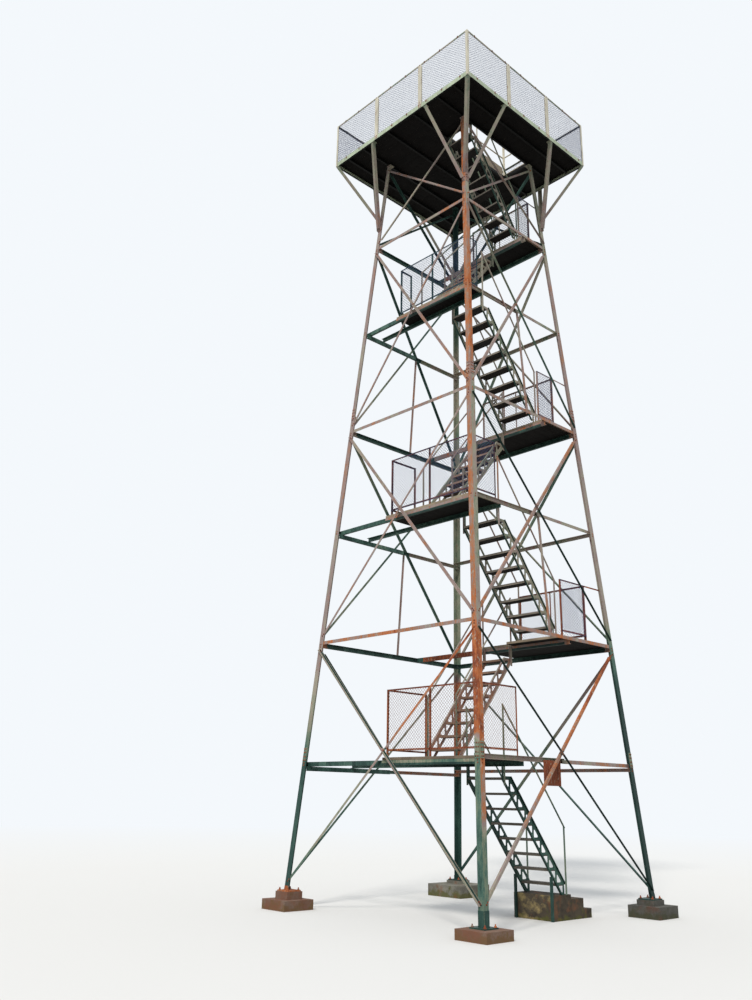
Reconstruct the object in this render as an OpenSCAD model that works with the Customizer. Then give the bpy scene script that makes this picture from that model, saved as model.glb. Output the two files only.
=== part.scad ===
// An open steel lookout tower: four angle legs braced on every face, seven flights of stairs
// between six landings, and a railed deck at the top. It has no cab and no roof.
// Corners: front is -X -Y, right is +X -Y, back is +X +Y, left is -X +Y.
// Faces: 0 runs front to right, 1 right to back, 2 back to left, 3 left to front.

/* [Tower] */
// Half the width of the tower at the ground, to the outer faces of the legs
foot_half = 2347; // [2250:1:2500]
// How far a face leans in for each millimetre of height
batter = 0.075; // [0.068:0.001:0.078]
// Height of one storey
storey = 2200; // [2100:1:2300]
// Height of the lowest panel point above the ground
base_h = 330; // [320:1:400]
// Leg width of the corner angles, up to the upper splice
leg_w = 110; // [100:1:130]
// Leg width of the corner angles above it
upper_leg_w = 95; // [90:1:110]
// Thickness of the corner angles
leg_t = 10; // [8:1:12]

/* [Bracing] */
// Flange width of the diagonals and of the light ties
brace_w = 65; // [50:1:70]
// Thickness of the diagonals and of the light ties
brace_t = 6; // [5:1:8]
// Height of a diagonal's end above or below its panel point
brace_offset = 145; // [140:1:170]
// Distance of a diagonal's end from the corner of the tower
brace_in = 65; // [62:1:75]
// Flange width of the hangers in the middle of two faces
hanger_w = 50; // [40:1:60]
// Diameter of the washer where two diagonals cross
washer_d = 60; // [40:1:70]
// Height of a splice plate in a leg
splice_h = 260; // [200:1:300]
// Thickness of a splice plate
splice_t = 8; // [6:1:12]

/* [Landings] */
// Depth of the beams of the odd landings
odd_beam_d = 80; // [70:1:100]
// Depth of the beams of the even landings
even_beam_d = 90; // [70:1:100]
// Flange width of the landing beams
beam_f = 50; // [40:1:60]
// Flange width of the front beams of the odd landings
front_f = 35; // [30:1:40]
// Thickness of the landing beams
beam_t = 7; // [5:1:9]
// Thickness of the landing planks
plank_t = 50; // [40:1:60]
// Width of the landing planks, rounded to fit
plank_w = 225; // [150:1:300]
// Gap between planks
plank_gap = 5; // [4:1:12]
// Height of the rails of the odd landings above the planks
odd_rail_h = 1150; // [1050:1:1200]
// Height of the rails of the even landings above the planks
even_rail_h = 1090; // [1000:1:1150]
// Flange width of the landing rails and posts
rail_w = 40; // [30:1:50]
// Thickness of the landing rails and posts
rail_t = 5; // [4:1:6]
// Height of the lower rail
kick_h = 140; // [100:1:200]
// Inner edge of the odd landings, measured from the middle of the tower
odd_edge = 980; // [960:1:1010]
// Strip added to the inner edge of the second landing
tongue = 220; // [150:1:260]
// Far end of that strip, measured towards the front from the middle of the tower
tongue_end = 700; // [600:1:800]

/* [Stairs] */
// Number of risers in a flight
risers = 9; // [9:1:9]
// Going of a step
going = 197; // [190:1:200]
// How far the treads lie below an even division of a flight's rise
tread_drop = 60; // [0:1:80]
// Depth of a tread
tread_d = 210; // [200:1:240]
// Thickness of a tread
tread_t = 38; // [32:1:50]
// Width of a stringer's chord bar
chord_w = 50; // [40:1:55]
// Thickness of the stringer plate
web_t = 6; // [5:1:8]
// Width of the flange on a stringer's chord
chord_f = 38; // [30:1:40]
// Half width of the web between a stringer's openings
web_half = 20; // [16:1:22]
// Corner radius of a stringer's openings
hole_r = 18; // [12:1:20]
// Height of the handrail above the nosings
handrail_h = 950; // [850:1:1000]
// Diameter of the handrail and its posts
pipe_d = 30; // [27:1:34]
// Width of the flat bars that carry the handrails
newel_w = 40; // [30:1:50]
// Thickness of those bars
newel_t = 8; // [6:1:8]

/* [Top deck] */
// Half the side of the top deck
deck_half = 2003; // [1960:1:2040]
// Depth of the edge beam
edge_d = 100; // [90:1:120]
// Depth of the joists
joist_d = 70; // [60:1:75]
// Height of the top rail above the underside of the edge beam
guard_h = 1129; // [1100:1:1200]
// Width of the guard rail
guard_w = 50; // [40:1:60]
// Thickness of the guard rail
guard_t = 5; // [4:1:6]
// Width of a guard post
post_w = 90; // [70:1:100]
// Thickness of a guard post
post_t = 6; // [5:1:8]
// Width of a corner post's flanges
corner_w = 70; // [60:1:80]
// Distance of the guard posts from the middle of each side
post_side = 668; // [600:1:700]
// Edge of the stair opening where the last flight ends, from the middle of the tower
top_edge = 860; // [840:1:900]
// Other edge of the stair opening
hatch_far = 1060; // [1000:1:1080]
// Clearance between the stair opening and the handrails on each side
hatch_gap = 12; // [8:1:20]
// Height of the pipe railing beside the stair opening
hatch_rail_h = 1000; // [900:1:1020]
// Height of a strut's foot below the top of the legs
strut_drop = 1700; // [1500:1:1800]
// Distance of the side struts from the middle of each side
strut_side = 790; // [700:1:850]
// Width of a strut's flanges
strut_w = 70; // [60:1:75]
// Thickness of a strut's flanges
strut_t = 6; // [5:1:8]
// Side of the plates at the heads of the struts
strut_pad = 100; // [90:1:120]

/* [Wire mesh] */
// Diagonal of a mesh opening
mesh_pitch = 300; // [280:1:360]
// Width of a mesh wire
wire_w = 8; // [6:1:10]
// Thickness of a mesh panel
wire_t = 4; // [3:1:5]

/* [Footings] */
// Width of the square base plates
plate_side = 300; // [260:1:320]
// Thickness of the base plates
plate_t = 20; // [15:1:25]
// Height of the tops of the shoe plates on the legs
shoe_top = 390; // [360:1:400]
// Height of the concrete under the first flight, with its top slab
block_h = 400; // [370:1:420]
// Thickness of that top slab
slab_t = 75; // [60:1:90]
// Height of the low step beside the block
block_step = 150; // [130:1:200]
// Width of the two short posts under the first flight
prop_w = 40; // [30:1:50]

/* [Hidden] */
// Depth that one piece sits in another, and clearance between pieces that meet end to end
seat = 0.3;
play = 0.5;
tilt = atan(batter);
// The diagonals' inner flanges end here, and the landing beams start a little further in
brace_tip = leg_t + brace_w;
beam_in = brace_tip + 4;
rail_in = beam_in + 10;
even_edge = (risers - 1) * going - odd_edge;
// Height of the top of each level's side beams above its panel point, from the first up
beam_up = [-10, -10, 60, -10, 120, -10];
// Right-hand side and width of each flight, from the first up
flight_y = [-1650, -650, -1667, -600, -1400, -445, -1085];
flight_w = [800, 680, 830, 750, 790, 650, 615];
// Far end of each landing, and of its railing, from the first up
deck_end = [105, 300, 460, 400, 570, 500];
rail_end = [100, -269, 410, 370, 550, 470];
// Corner of the railing on the even landings, measured from the middle of the tower
rail_turn = [1394, 1130, 1000];
// Heights of the splices in the legs
splice_z = [2650, 9520];
// Footing heights, widths and pedestals: front, right, back, left
pad_h = [150, 200, 230, 170];
pad_side = [600, 620, 900, 650];
pedestal_h = [0, 90, 60, 130];
pedestal_side = 340;
foot_in = 62;
// The outer edges of the pads line up at this distance from the middle
pad_line = 2597;
// Right-hand end of the front beam of an odd landing, and the lap of the tie behind it
mid_beam_x = 200;
lap = 120;
// Concrete block and low step under the first flight
block_x = 265;
block_y = -1640;
block_l = 865;
block_w = 830;
slab_l = 505;
step_l = 230;
leg_top = level(7);
top_deck = leg_top + edge_d;
guard_top = leg_top + guard_h;
// Bars of the top deck's frame: distances along Y of those that run along X, and the reverse
girder = 1110;
// Plates at the feet of the struts, and how much higher the corner struts start
plate_h = 120;
corner_up = 160;
// Cap plates on the legs
cap = 120;
cap_t = 4;
cap_out = 10;
joist_z = leg_top + web_t + play;
joist_h = leg_top + joist_d - joist_z;
joist_f = 45;
joist_y = [-1600, 330, 1600];
hatch_y0 = flight_y[6] - newel_t - hatch_gap;
hatch_y1 = flight_y[6] + flight_w[6] + newel_t + hatch_gap;

// Height of a panel point, half the tower's width at a height, and distance up a sloping face
function level(k) = base_h + k * storey;
function half(z) = foot_half - batter * z;
function slope(z) = z / cos(tilt);
function odd(k) = k % 2 == 1;
// Top and depth of a level's beams, their outer line, and the top of the planks on them
function beam_top(k) = level(k) + beam_up[k - 1];
function beam_d(k) = odd(k) ? odd_beam_d : even_beam_d;
function beam_line(k) = half(beam_top(k)) - beam_in;
// Line of the front beam of an odd level, which lies on the side beams
function front_line(k) = half(beam_top(k) + odd_beam_d + play) - beam_in;
function deck_z(k) = k == 0 ? block_h : k == 7 ? top_deck : beam_top(k) + plank_t;
// Height of a landing's top rail, and the line of its outer face
function rail_h(k) = odd(k) ? odd_rail_h : even_rail_h;
function rail_z(k) = deck_z(k) + rail_h(k);
function rail_line(k) = half(rail_z(k)) - rail_in;

// Places things in a face: X along it, Y inwards from its outer plane, Z up its slope
module on_face(i) {
    rotate([0, 0, 90 * i]) translate([0, -foot_half, 0]) rotate([-tilt, 0, 0]) children();
}
module face_plate(points, depth, thick) {
    translate([0, depth + thick, 0]) rotate([90, 0, 0]) linear_extrude(thick) polygon(points);
}
// An angle bar in a face from p to q: one flange flat at a depth, the other standing in or out
module face_angle(p, q, depth, stand, size, thick, over, cope) {
    run = norm(q - p);
    translate([p[0], 0, p[1]]) rotate([0, atan2(q[0] - p[0], q[1] - p[1]), 0]) union() {
        translate([-size / 2, depth, -over]) cube([size, thick, run + 2 * over]);
        translate([-size / 2, stand > 0 ? depth : depth + thick - size, cope[0]])
            cube([thick, size, run - cope[0] - cope[1]]);
    }
}

// Extrudes a profile along X or along Y; the profile's Y becomes height
module along_x(x0, x1) {
    translate([x0, 0, 0]) rotate([90, 0, 90]) linear_extrude(x1 - x0) children();
}
module along_y(y0, y1) {
    translate([0, y1, 0]) rotate([90, 0, 0]) linear_extrude(y1 - y0) children();
}
// Channel profile with its back on the line x = 0 and its flanges towards side
module channel(d, f, t, side) {
    polygon([[0, -d / 2], [side * f, -d / 2], [side * f, t - d / 2], [side * t, t - d / 2],
             [side * t, d / 2 - t], [side * f, d / 2 - t], [side * f, d / 2], [0, d / 2]]);
}
// Angle profile with its heel at the origin
module angle_profile(w, t, sx, sy) {
    polygon([[0, 0], [sx * w, 0], [sx * w, sy * t], [sx * t, sy * t], [sx * t, sy * w], [0, sy * w]]);
}

// A channel beam along X or Y with its back on a line, its flanges towards side, and its top at a
// level or, with a lift, above or below it
module beam_x(k, x0, x1, y, side, lift = 0, flange = beam_f) {
    translate([0, y, beam_top(k) + lift - beam_d(k) / 2]) along_x(x0, x1)
        channel(beam_d(k), flange, beam_t, side);
}
module beam_y(k, y0, y1, x, side) {
    translate([x, 0, beam_top(k) - beam_d(k) / 2]) along_y(y0, y1)
        channel(beam_d(k), beam_f, beam_t, side);
}
// An angle bar between two points, with its heel outwards and below
module strut(p, q) {
    run = q - p;
    long = norm(run);
    translate(p) rotate([0, acos(run[2] / long), atan2(run[1], run[0])]) rotate([0, 0, 135])
        translate([-strut_w / 4, -strut_w / 4, 0]) linear_extrude(long)
            angle_profile(strut_w, strut_t, 1, 1);
}
// Rows of planks that run along X, or along Y
module planks(x0, x1, y0, y1, z, thick) {
    n = round((y1 - y0) / plank_w);
    pitch = (y1 - y0 + plank_gap) / n;
    for (i = [0:n - 1]) translate([x0, y0 + i * pitch, z]) cube([x1 - x0, pitch - plank_gap, thick]);
}
module planks_y(x0, x1, y0, y1, z, thick) {
    rotate([0, 0, 90]) planks(y0, y1, -x1, -x0, z, thick);
}

/* Footings */

function foot_z(i) = pad_h[i] + pedestal_h[i] + plate_t;
module at_foot(i) {
    rotate([0, 0, 90 * i]) translate([foot_in - half(foot_z(i)), foot_in - half(foot_z(i)), 0]) children();
}
module block(side, z0, z1) {
    translate([-side / 2, -side / 2, z0]) cube([side, side, z1 - z0]);
}
module footings() {
    color("Silver") for (i = [0:3]) union() {
        rotate([0, 0, 90 * i]) translate([-pad_line, -pad_line, 0])
            cube([pad_side[i], pad_side[i], pad_h[i]]);
        if (pedestal_h[i] > 0) at_foot(i) block(pedestal_side, pad_h[i] - 1, pad_h[i] + pedestal_h[i]);
    }
}
module step_block() {
    color("LightGray") {
        union() {
            translate([block_x, block_y, 0]) cube([block_l, block_w, block_h - slab_t]);
            translate([block_x, block_y, 0]) cube([slab_l, block_w, block_h]);
        }
        translate([block_x + block_l + play, block_y, 0]) cube([step_l, block_w, block_step]);
    }
}
// Short upright posts in front of the block, up to the lower chords of the first flight
module props() {
    g = going_of(1);
    r = rise(1) / risers;
    x = block_x - play - prop_w;
    run = even_edge - (x + prop_w) - level_half(g, r) - web_t / sin(atan2(r, g)) - play;
    for (y = [flight_y[0], flight_y[0] + flight_w[0] - prop_w]) translate([x, y, 0])
        cube([prop_w, prop_w, deck_z(0) - tread_drop + run * r / g]);
}
module base_shoes() {
    color("DimGray") {
        props();
        for (i = [0:3]) shoe(i);
    }
}
module shoe(i) {
    union() {
        at_foot(i) block(plate_side, foot_z(i) - plate_t, foot_z(i));
        leg_flange(i, -1, foot_z(i) - seat, shoe_top, 4, leg_w, -splice_t, splice_t);
        leg_flange((i + 3) % 4, 1, foot_z(i) - seat, shoe_top, 4, leg_w, -splice_t, splice_t);
    }
}

/* Legs and bracing */

// Part of a leg flange in face i at its left (-1) or right (1) end, between two heights
module leg_flange(i, side, z0, z1, near, far, depth, thick) {
    on_face(i) face_plate([
        [side * (half(z0) - near), slope(z0)], [side * (half(z0) - far), slope(z0)],
        [side * (half(z1) - far), slope(z1)], [side * (half(z1) - near), slope(z1)]
    ], depth, thick);
}
module leg(i) {
    color("OliveDrab") union() {
        for (part = [[foot_z(i) + seat, splice_z[1] + 1, leg_w],
                     [splice_z[1], leg_top - cap_t + 1, upper_leg_w]]) {
            leg_flange(i, -1, part[0], part[1], 0, part[2], 0, leg_t);
            leg_flange((i + 3) % 4, 1, part[0], part[1], leg_t / 2, part[2], 0, leg_t);
        }
        rotate([0, 0, 90 * i]) translate([-half(leg_top) - cap_out, -half(leg_top) - cap_out, 0])
            translate([0, 0, leg_top - cap_t]) cube([cap, cap, joist_z - leg_top + cap_t]);
    }
}
panels = [[0, 2], [2, 4], [4, 6], [6, 7]];
function panel_z(p) = [level(p[0]) + brace_offset, level(p[1]) - brace_offset];
function brace_end(z, side) = [side * (half(z) - brace_in), slope(z)];
// Height at which the two diagonals of a panel cross
function crossing(z) =
    let (a = half(z[0]) - brace_in, b = half(z[1]) - brace_in) z[0] + (z[1] - z[0]) * a / (a + b);
module braces(i) {
    color("OliveDrab") on_face(i) for (p = panels) {
        z = panel_z(p);
        face_angle(brace_end(z[0], 1), brace_end(z[1], -1), -brace_t, -1, brace_w, brace_t, 30, [0, 0]);
        face_angle(brace_end(z[0], -1), brace_end(z[1], 1), leg_t, 1, brace_w, brace_t, 30, [90, 90]);
    }
}
module splices_and_washers() {
    color("DarkKhaki") {
        for (i = [0:3], z = splice_z) {
            leg_flange(i, -1, z - splice_h / 2, z + splice_h / 2, 6, upper_leg_w - 4, -splice_t, splice_t);
            leg_flange(i, 1, z - splice_h / 2, z + splice_h / 2, 6, upper_leg_w - 4, -splice_t, splice_t);
        }
        for (i = [0:3], p = panels) on_face(i) translate([0, 0, slope(crossing(panel_z(p)))])
            rotate([-90, 0, 0]) cylinder(d = washer_d, h = leg_t, $fn = 24);
    }
}
// A light tie in a face at a height
module tie(i, z, u0, u1, depth) {
    on_face(i) face_angle([u0, slope(z)], [u1, slope(z)], depth, 1, brace_w, brace_t, 0, [0, 0]);
}
// Heights of the ties of an odd level at the front, right and back
function tie_z(k) = [beam_top(k) + brace_w / 2 + play, beam_top(k) - odd_beam_d / 2,
                     beam_top(k) - odd_beam_d - brace_w / 2 - play];
// Angle bar in a face between two heights, inside the diagonals
module hanger(i, u, z0, z1) {
    drop = brace_tip * sin(tilt);
    tip = hanger_w * sin(tilt);
    on_face(i) translate([u - hanger_w / 2, brace_tip, slope(z0) + drop + tip]) union() {
        cube([hanger_w, brace_t, slope(z1) - slope(z0) - tip]);
        cube([brace_t, hanger_w, slope(z1) - slope(z0) - tip]);
    }
}
module hangers() {
    color("OliveDrab") for (k = [3, 5]) {
        hanger(0, 115, level(k - 1), beam_top(k) - play);
        hanger(2, -60, beam_top(k - 1), tie_z(k)[2] - brace_w / 2 - 5);
    }
}

/* Levels */

module level_frame(k) {
    line = beam_line(k);
    // Beams end on the legs, or on the ties that lie on the legs
    reach = half(beam_top(k)) - leg_t;
    short = half(beam_top(k)) - (leg_t + brace_t) / cos(tilt) - play;
    web = line - beam_f - play;
    butt = half(level(k)) - leg_t - 1;
    color("OliveDrab") {
        if (odd(k)) {
            // The side beams lie on the back beam and carry the front beam
            z = tie_z(k);
            ends = [for (h = z) half(h + brace_w / 2) - leg_t - 1];
            beam_y(k, -reach, reach, -line, 1);
            beam_y(k, -line, line, -odd_edge, -1);
            union() {
                beam_x(k, -front_line(k) - beam_in + leg_t + play, mid_beam_x,
                    beam_f - front_line(k), -1, odd_beam_d + play, front_f);
                tie(0, z[0], mid_beam_x - lap, ends[0], brace_tip);
            }
            union() {
                beam_x(k, -half(beam_top(k) - odd_beam_d) + leg_t + play, 0,
                    line - beam_f, 1, -odd_beam_d - play);
                tie(2, z[2], -ends[2], lap, brace_tip);
            }
            tie(1, z[1], -ends[1], ends[1], brace_tip);
        } else {
            beam_x(k, -short, reach, line, -1);
            beam_y(k, -short, web, line, -1);
            beam_y(k, -short, web, even_edge, 1);
            tie(0, level(k), 5 - butt, butt - 5, leg_t);
            tie(3, level(k), brace_tip - butt, butt - brace_tip, leg_t);
        }
    }
}
module landing_deck(k) {
    line = beam_line(k) - 5;
    z = beam_top(k);
    color("Peru") if (odd(k))
        planks(-line, -odd_edge, beam_f + plank_gap - front_line(k), deck_end[k - 1], z, plank_t);
    else if (k == 2) {
        planks(even_edge - tongue, line, -line, -tongue_end, z, plank_t);
        planks(even_edge, line, plank_gap - tongue_end, deck_end[k - 1], z, plank_t);
    } else planks(even_edge, line, -line, deck_end[k - 1], z, plank_t);
}

/* Flights */

function rise(k) = deck_z(k) - deck_z(k - 1);
function run_to(k) = k == 7 ? top_edge : odd_edge;
function going_of(k) = (even_edge + run_to(k)) / (risers - 1);
// Places a flight: X forwards from the first nosing, Z up from the lower landing
module at_flight(k) {
    translate([odd(k) ? even_edge : -odd_edge, flight_y[k - 1], deck_z(k - 1)])
        mirror([odd(k) ? 1 : 0, 0, 0]) children();
}
// Corner points of an outline moved inwards, each side by its own distance (outline runs anticlockwise)
function unit(v) = v / norm(v);
function normal(v) = [-v[1], v[0]];
function meet(p, u, q, v) = p + u * (((q - p) * normal(v)) / (u * normal(v)));
function inset(pts, by) = [for (i = [0:len(pts) - 1]) let (
        n = len(pts), a = pts[(i + n - 1) % n], b = pts[i], c = pts[(i + 1) % n],
        u = unit(b - a), v = unit(c - b))
    meet(a + normal(u) * by[(i + n - 1) % n], u, b + normal(v) * by[i], v)];
// The same outline with its corners rounded, four points to a corner
function rounded(pts, r) = [for (i = [0:len(pts) - 1]) let (
        n = len(pts), b = pts[i], u = unit(pts[(i + n - 1) % n] - b), v = unit(pts[(i + 1) % n] - b),
        bend = acos(u * v), centre = b + unit(u + v) * r / sin(bend / 2),
        from = centre - (centre - b) + u * r / tan(bend / 2) - centre,
        start = atan2(from[1], from[0]))
    for (j = [0:3]) centre + r * [cos(start + j * (180 - bend) / 3), sin(start + j * (180 - bend) / 3)]];
// Openings of a lattice stringer: one below each tread bracket and, but for the last, one above it
function openings(g, r) = [for (i = [1:risers - 1]) let (
        nose = [(i - 1) * g, i * r], inner = [i * g, i * r],
        next = [i * g, (i + 1) * r], low = [(i - 1) * g, (i - 1) * r])
    each concat([[[low, inner, nose], [chord_w / 2, web_half, web_half]]],
        i < risers - 1 ? [[[nose, inner, next], [web_half, web_half, chord_w / 2]]] : [])];
// Half of a chord bar's width, measured level
function level_half(g, r) = chord_w / 2 / sin(atan2(r, g));
// Stringer plate: the upper chord ends at the first and last tread, the lower one stands on the
// landing at a height of foot, and an upright bar at the far end reaches up to head
module lattice(g, r, foot, head) {
    reach_x = level_half(g, r);
    top = (risers - 1) * g;
    tall = (risers - 1) * r;
    outline = [[-web_half, foot], [foot * g / r + reach_x, foot], [top, tall - reach_x * r / g],
               [top, head], [top - 2 * web_half, head], [top - 2 * web_half, tall + web_half],
               [top - g + web_half * g / r - reach_x, tall + web_half],
               [-web_half * g / r - reach_x, r - web_half], [-web_half, r - web_half]];
    holes = [for (h = openings(g, r)) rounded(inset(h[0], h[1]), hole_r)];
    points = concat(outline, [for (h = holes) each h]);
    paths = concat([[for (i = [0:len(outline) - 1]) i]],
        [for (j = [0:len(holes) - 1]) [for (i = [0:11]) len(outline) + 12 * j + i]]);
    translate([0, web_t, 0]) rotate([90, 0, 0]) linear_extrude(web_t) polygon(points, paths);
}
// Outward flange along a chord from the point p, cut level at its foot and upright at x1
module chord_flange(g, r, p, x1) {
    thick = web_t / cos(atan2(r, g));
    z1 = p[1] + (x1 - p[0]) * r / g;
    translate([0, chord_f, 0]) rotate([90, 0, 0]) linear_extrude(chord_f)
        polygon([p, [p[0] + thick * g / r, p[1]], [x1, z1 - thick], [x1, z1]]);
}
module stringer(k) {
    g = going_of(k);
    r = rise(k) / risers;
    reach_x = level_half(g, r);
    top = (risers - 1) * g;
    translate([0, 0, -tread_drop]) union() {
        translate([0, chord_f - web_t, 0]) lattice(g, r, tread_drop, rise(k) + tread_drop - plank_t);
        chord_flange(g, r, [-web_half * g / r - reach_x, r - web_half],
            top - g + web_half * g / r - reach_x);
        chord_flange(g, r, [tread_drop * g / r + reach_x, tread_drop], top);
    }
}
module flight_stringers(k) {
    color("DarkGreen") at_flight(k) {
        stringer(k);
        translate([0, flight_w[k - 1], 0]) mirror([0, 1, 0]) stringer(k);
    }
}
module flight_treads(k) {
    color("SaddleBrown") at_flight(k) for (i = [1:risers - 1])
        translate([(i - 1) * going_of(k), chord_f, i * rise(k) / risers - tread_drop - tread_t])
            cube([tread_d, flight_w[k - 1] - 2 * chord_f, tread_t]);
}
module odd_flight_treads() { for (k = [1:2:7]) flight_treads(k); }
module even_flight_treads() { for (k = [2:2:6]) flight_treads(k); }
module handrail(k) {
    g = going_of(k);
    r = rise(k) / risers;
    top = (risers - 1) * g;
    over = handrail_h - tread_drop;
    x0 = -30;
    x1 = top - newel_w / 2 - 2;
    z0 = (x0 + g) * r / g + over;
    z1 = (x1 + g) * r / g + over;
    // The far bar hangs the flight from the landing: it reaches down past the lower chord
    hang = handrail_h + r + 2 * chord_w;
    union() {
        translate([x0 - newel_w / 2, -newel_t, 0]) cube([newel_w, newel_t, z0]);
        translate([x1 - newel_w / 2, -newel_t, z1 - hang]) cube([newel_w, newel_t, hang]);
        translate([x0, -newel_t / 2, z0]) rotate([0, atan2(x1 - x0, z1 - z0), 0]) translate([0, 0, -30])
            cylinder(d = pipe_d, h = norm([x1 - x0, z1 - z0]) + 60, $fn = 12);
    }
}
module stair_handrails() {
    color("DarkOliveGreen") for (k = [1:7]) at_flight(k) {
        handrail(k);
        translate([0, flight_w[k - 1], 0]) mirror([0, 1, 0]) handrail(k);
    }
}

/* Landing railings */

module post(x, y, sx, sy, z, h) {
    translate([x, y, z]) linear_extrude(h) angle_profile(rail_w, rail_t, sx, sy);
}
// Rail along X or Y: upright flange on the line, flat flange at the top towards side
module rail_x(x0, x1, y, side, z) {
    translate([0, y, z]) along_x(x0, x1) angle_profile(rail_w, rail_t, side, -1);
}
module rail_y(y0, y1, x, side, z) {
    translate([x, 0, z]) along_y(y0, y1) angle_profile(rail_w, rail_t, side, -1);
}
// Railing panel of landing k along X or Y from one post to another: top rail, lower rail and posts
module panel_x(k, x0, x1, y, side, reach0, reach1) {
    z = deck_z(k);
    union() {
        rail_x(x0 - reach0, x1 + reach1, y, side, rail_z(k));
        rail_x(x0, x1, y, side, z + kick_h);
        post(x0, y, 1, side, z, rail_h(k));
        post(x1, y, -1, side, z, rail_h(k));
    }
}
module panel_y(k, y0, y1, x, side, reach0) {
    z = deck_z(k);
    union() {
        rail_y(y0 - reach0, y1, x, side, rail_z(k));
        rail_y(y0, y1, x, side, z + kick_h);
        post(x, y0, side, 1, z, rail_h(k));
        post(x, (y0 + y1) / 2, side, 1, z, rail_h(k));
        post(x, y1, side, -1, z, rail_h(k));
    }
}
// Distance from a railing's line out to the leg flange that its top rail meets
function to_leg(k) = half(rail_z(k)) - leg_t - rail_line(k);
module odd_rails(k) {
    line = rail_line(k);
    end = rail_end[k - 1];
    color("DarkOliveGreen") {
        panel_y(k, -line, end, -line, 1, to_leg(k));
        panel_x(k, rail_w + play - line, -odd_edge - 10, -line, 1, 0, 0);
        panel_x(k, rail_w + play - line, -odd_edge - 10, end, -1, 0, 0);
    }
}
function even_rail_x0(k) = even_edge + 15;
module even_rails(k) {
    line = rail_line(k);
    end = rail_end[k - 1];
    turn = rail_turn[k / 2 - 1];
    color("DarkOliveGreen") {
        panel_x(k, even_rail_x0(k), turn, -line, 1, 0, line + to_leg(k) - turn);
        panel_y(k, rail_w + play - line, end, turn, -1, 0);
    }
}
module odd_landing_rails() { for (k = [1, 3, 5]) odd_rails(k); }
module even_landing_rails() { for (k = [2, 4, 6]) even_rails(k); }

// A woven panel drawn as a plate with diamond openings, w by h, upright along X, thickness along Y
module mesh_panel(w, h) {
    nu = round(w / mesh_pitch);
    nv = round(h / mesh_pitch);
    a = w / nu / 2;
    b = h / nv / 2;
    in_u = wire_w / 2 * norm([a, b]) / b;
    in_v = wire_w / 2 * norm([a, b]) / a;
    dirs = [[1, 0], [0, 1], [-1, 0], [0, -1]];
    holes = [for (i = [0:2 * nu], j = [0:2 * nv]) if ((i + j) % 2 == 0) let (
        pts = [for (d = dirs)
            if (abs((i + d[0]) * a - w / 2) < w / 2 + 1 && abs((j + d[1]) * b - h / 2) < h / 2 + 1)
            [i * a + d[0] * (a - in_u), j * b + d[1] * (b - in_v)]]) if (len(pts) == 4) pts];
    points = concat([[0, 0], [w, 0], [w, h], [0, h]], [for (p = holes) each p]);
    translate([0, wire_t, 0]) rotate([90, 0, 0]) linear_extrude(wire_t) polygon(points,
        concat([[0, 1, 2, 3]], [for (n = [1:len(holes)]) [4 * n, 4 * n + 1, 4 * n + 2, 4 * n + 3]]));
}
module landing_mesh() {
    low = kick_h - rail_w;
    color("LightSteelBlue") {
        for (k = [1, 3, 5]) translate([0, 0, deck_z(k) + low]) {
            line = rail_line(k);
            tall = rail_h(k) - low;
            translate([-line, rail_end[k - 1], 0]) rotate([0, 0, -90])
                translate([0, -wire_t, 0]) mesh_panel(rail_end[k - 1] + line, tall);
            translate([-line, -line - wire_t, 0]) mesh_panel(line - odd_edge - 10, tall);
        }
        for (k = [2, 4, 6]) translate([0, 0, deck_z(k) + low]) {
            line = rail_line(k);
            tall = rail_h(k) - low;
            turn = rail_turn[k / 2 - 1];
            translate([even_rail_x0(k), -line - wire_t, 0]) mesh_panel(turn - even_rail_x0(k), tall);
            translate([turn, rail_w + play - line, 0]) rotate([0, 0, 90])
                translate([0, -wire_t, 0]) mesh_panel(rail_end[k - 1] + line - rail_w - play, tall);
        }
    }
}

/* Top deck */

module four_sides() { for (i = [0:3]) rotate([0, 0, 90 * i]) children(); }
module joist_x(x0, x1, y, side) {
    translate([0, y, joist_z + joist_h / 2]) along_x(x0, x1) channel(joist_h, joist_f, web_t, side);
}
module joist_y(y0, y1, x, side) {
    translate([x, 0, joist_z + joist_h / 2]) along_y(y0, y1) channel(joist_h, joist_f, web_t, side);
}
module top_deck_frame() {
    in = deck_half - web_t - play;
    color("DarkSeaGreen") {
        for (s = [-1, 1]) {
            translate([0, s * deck_half, leg_top + edge_d / 2]) along_x(-deck_half, deck_half)
                channel(edge_d, joist_f, web_t, -s);
            translate([s * deck_half, 0, leg_top + edge_d / 2])
                along_y(joist_f + play - deck_half, deck_half - joist_f - play)
                    channel(edge_d, joist_f, web_t, -s);
        }
        // Joists along X, fitted between the edge beams' webs
        for (y = joist_y) joist_x(-in, in, y, 1);
        joist_x(-in, in, girder, 1);
        joist_x(-in, in, hatch_y0, -1);
        joist_x(-in, in, hatch_y1, 1);
        // Short beams between them, at the ends of the stair opening
        joist_y(hatch_y0 + play, hatch_y1 - play, -top_edge, -1);
        joist_y(hatch_y0 + play, hatch_y1 - play, hatch_far, 1);
    }
}
module top_deck_planks() {
    out = deck_half - joist_f - 5;
    z = leg_top + joist_d;
    thick = edge_d - joist_d;
    color("Peru") {
        planks_y(-out, -top_edge, -out, out, z, thick);
        planks_y(plank_gap - top_edge, hatch_far - plank_gap, -out, hatch_y0, z, thick);
        planks_y(plank_gap - top_edge, hatch_far - plank_gap, hatch_y1, out, z, thick);
        planks_y(hatch_far, out, -out, out, z, thick);
    }
}
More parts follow.
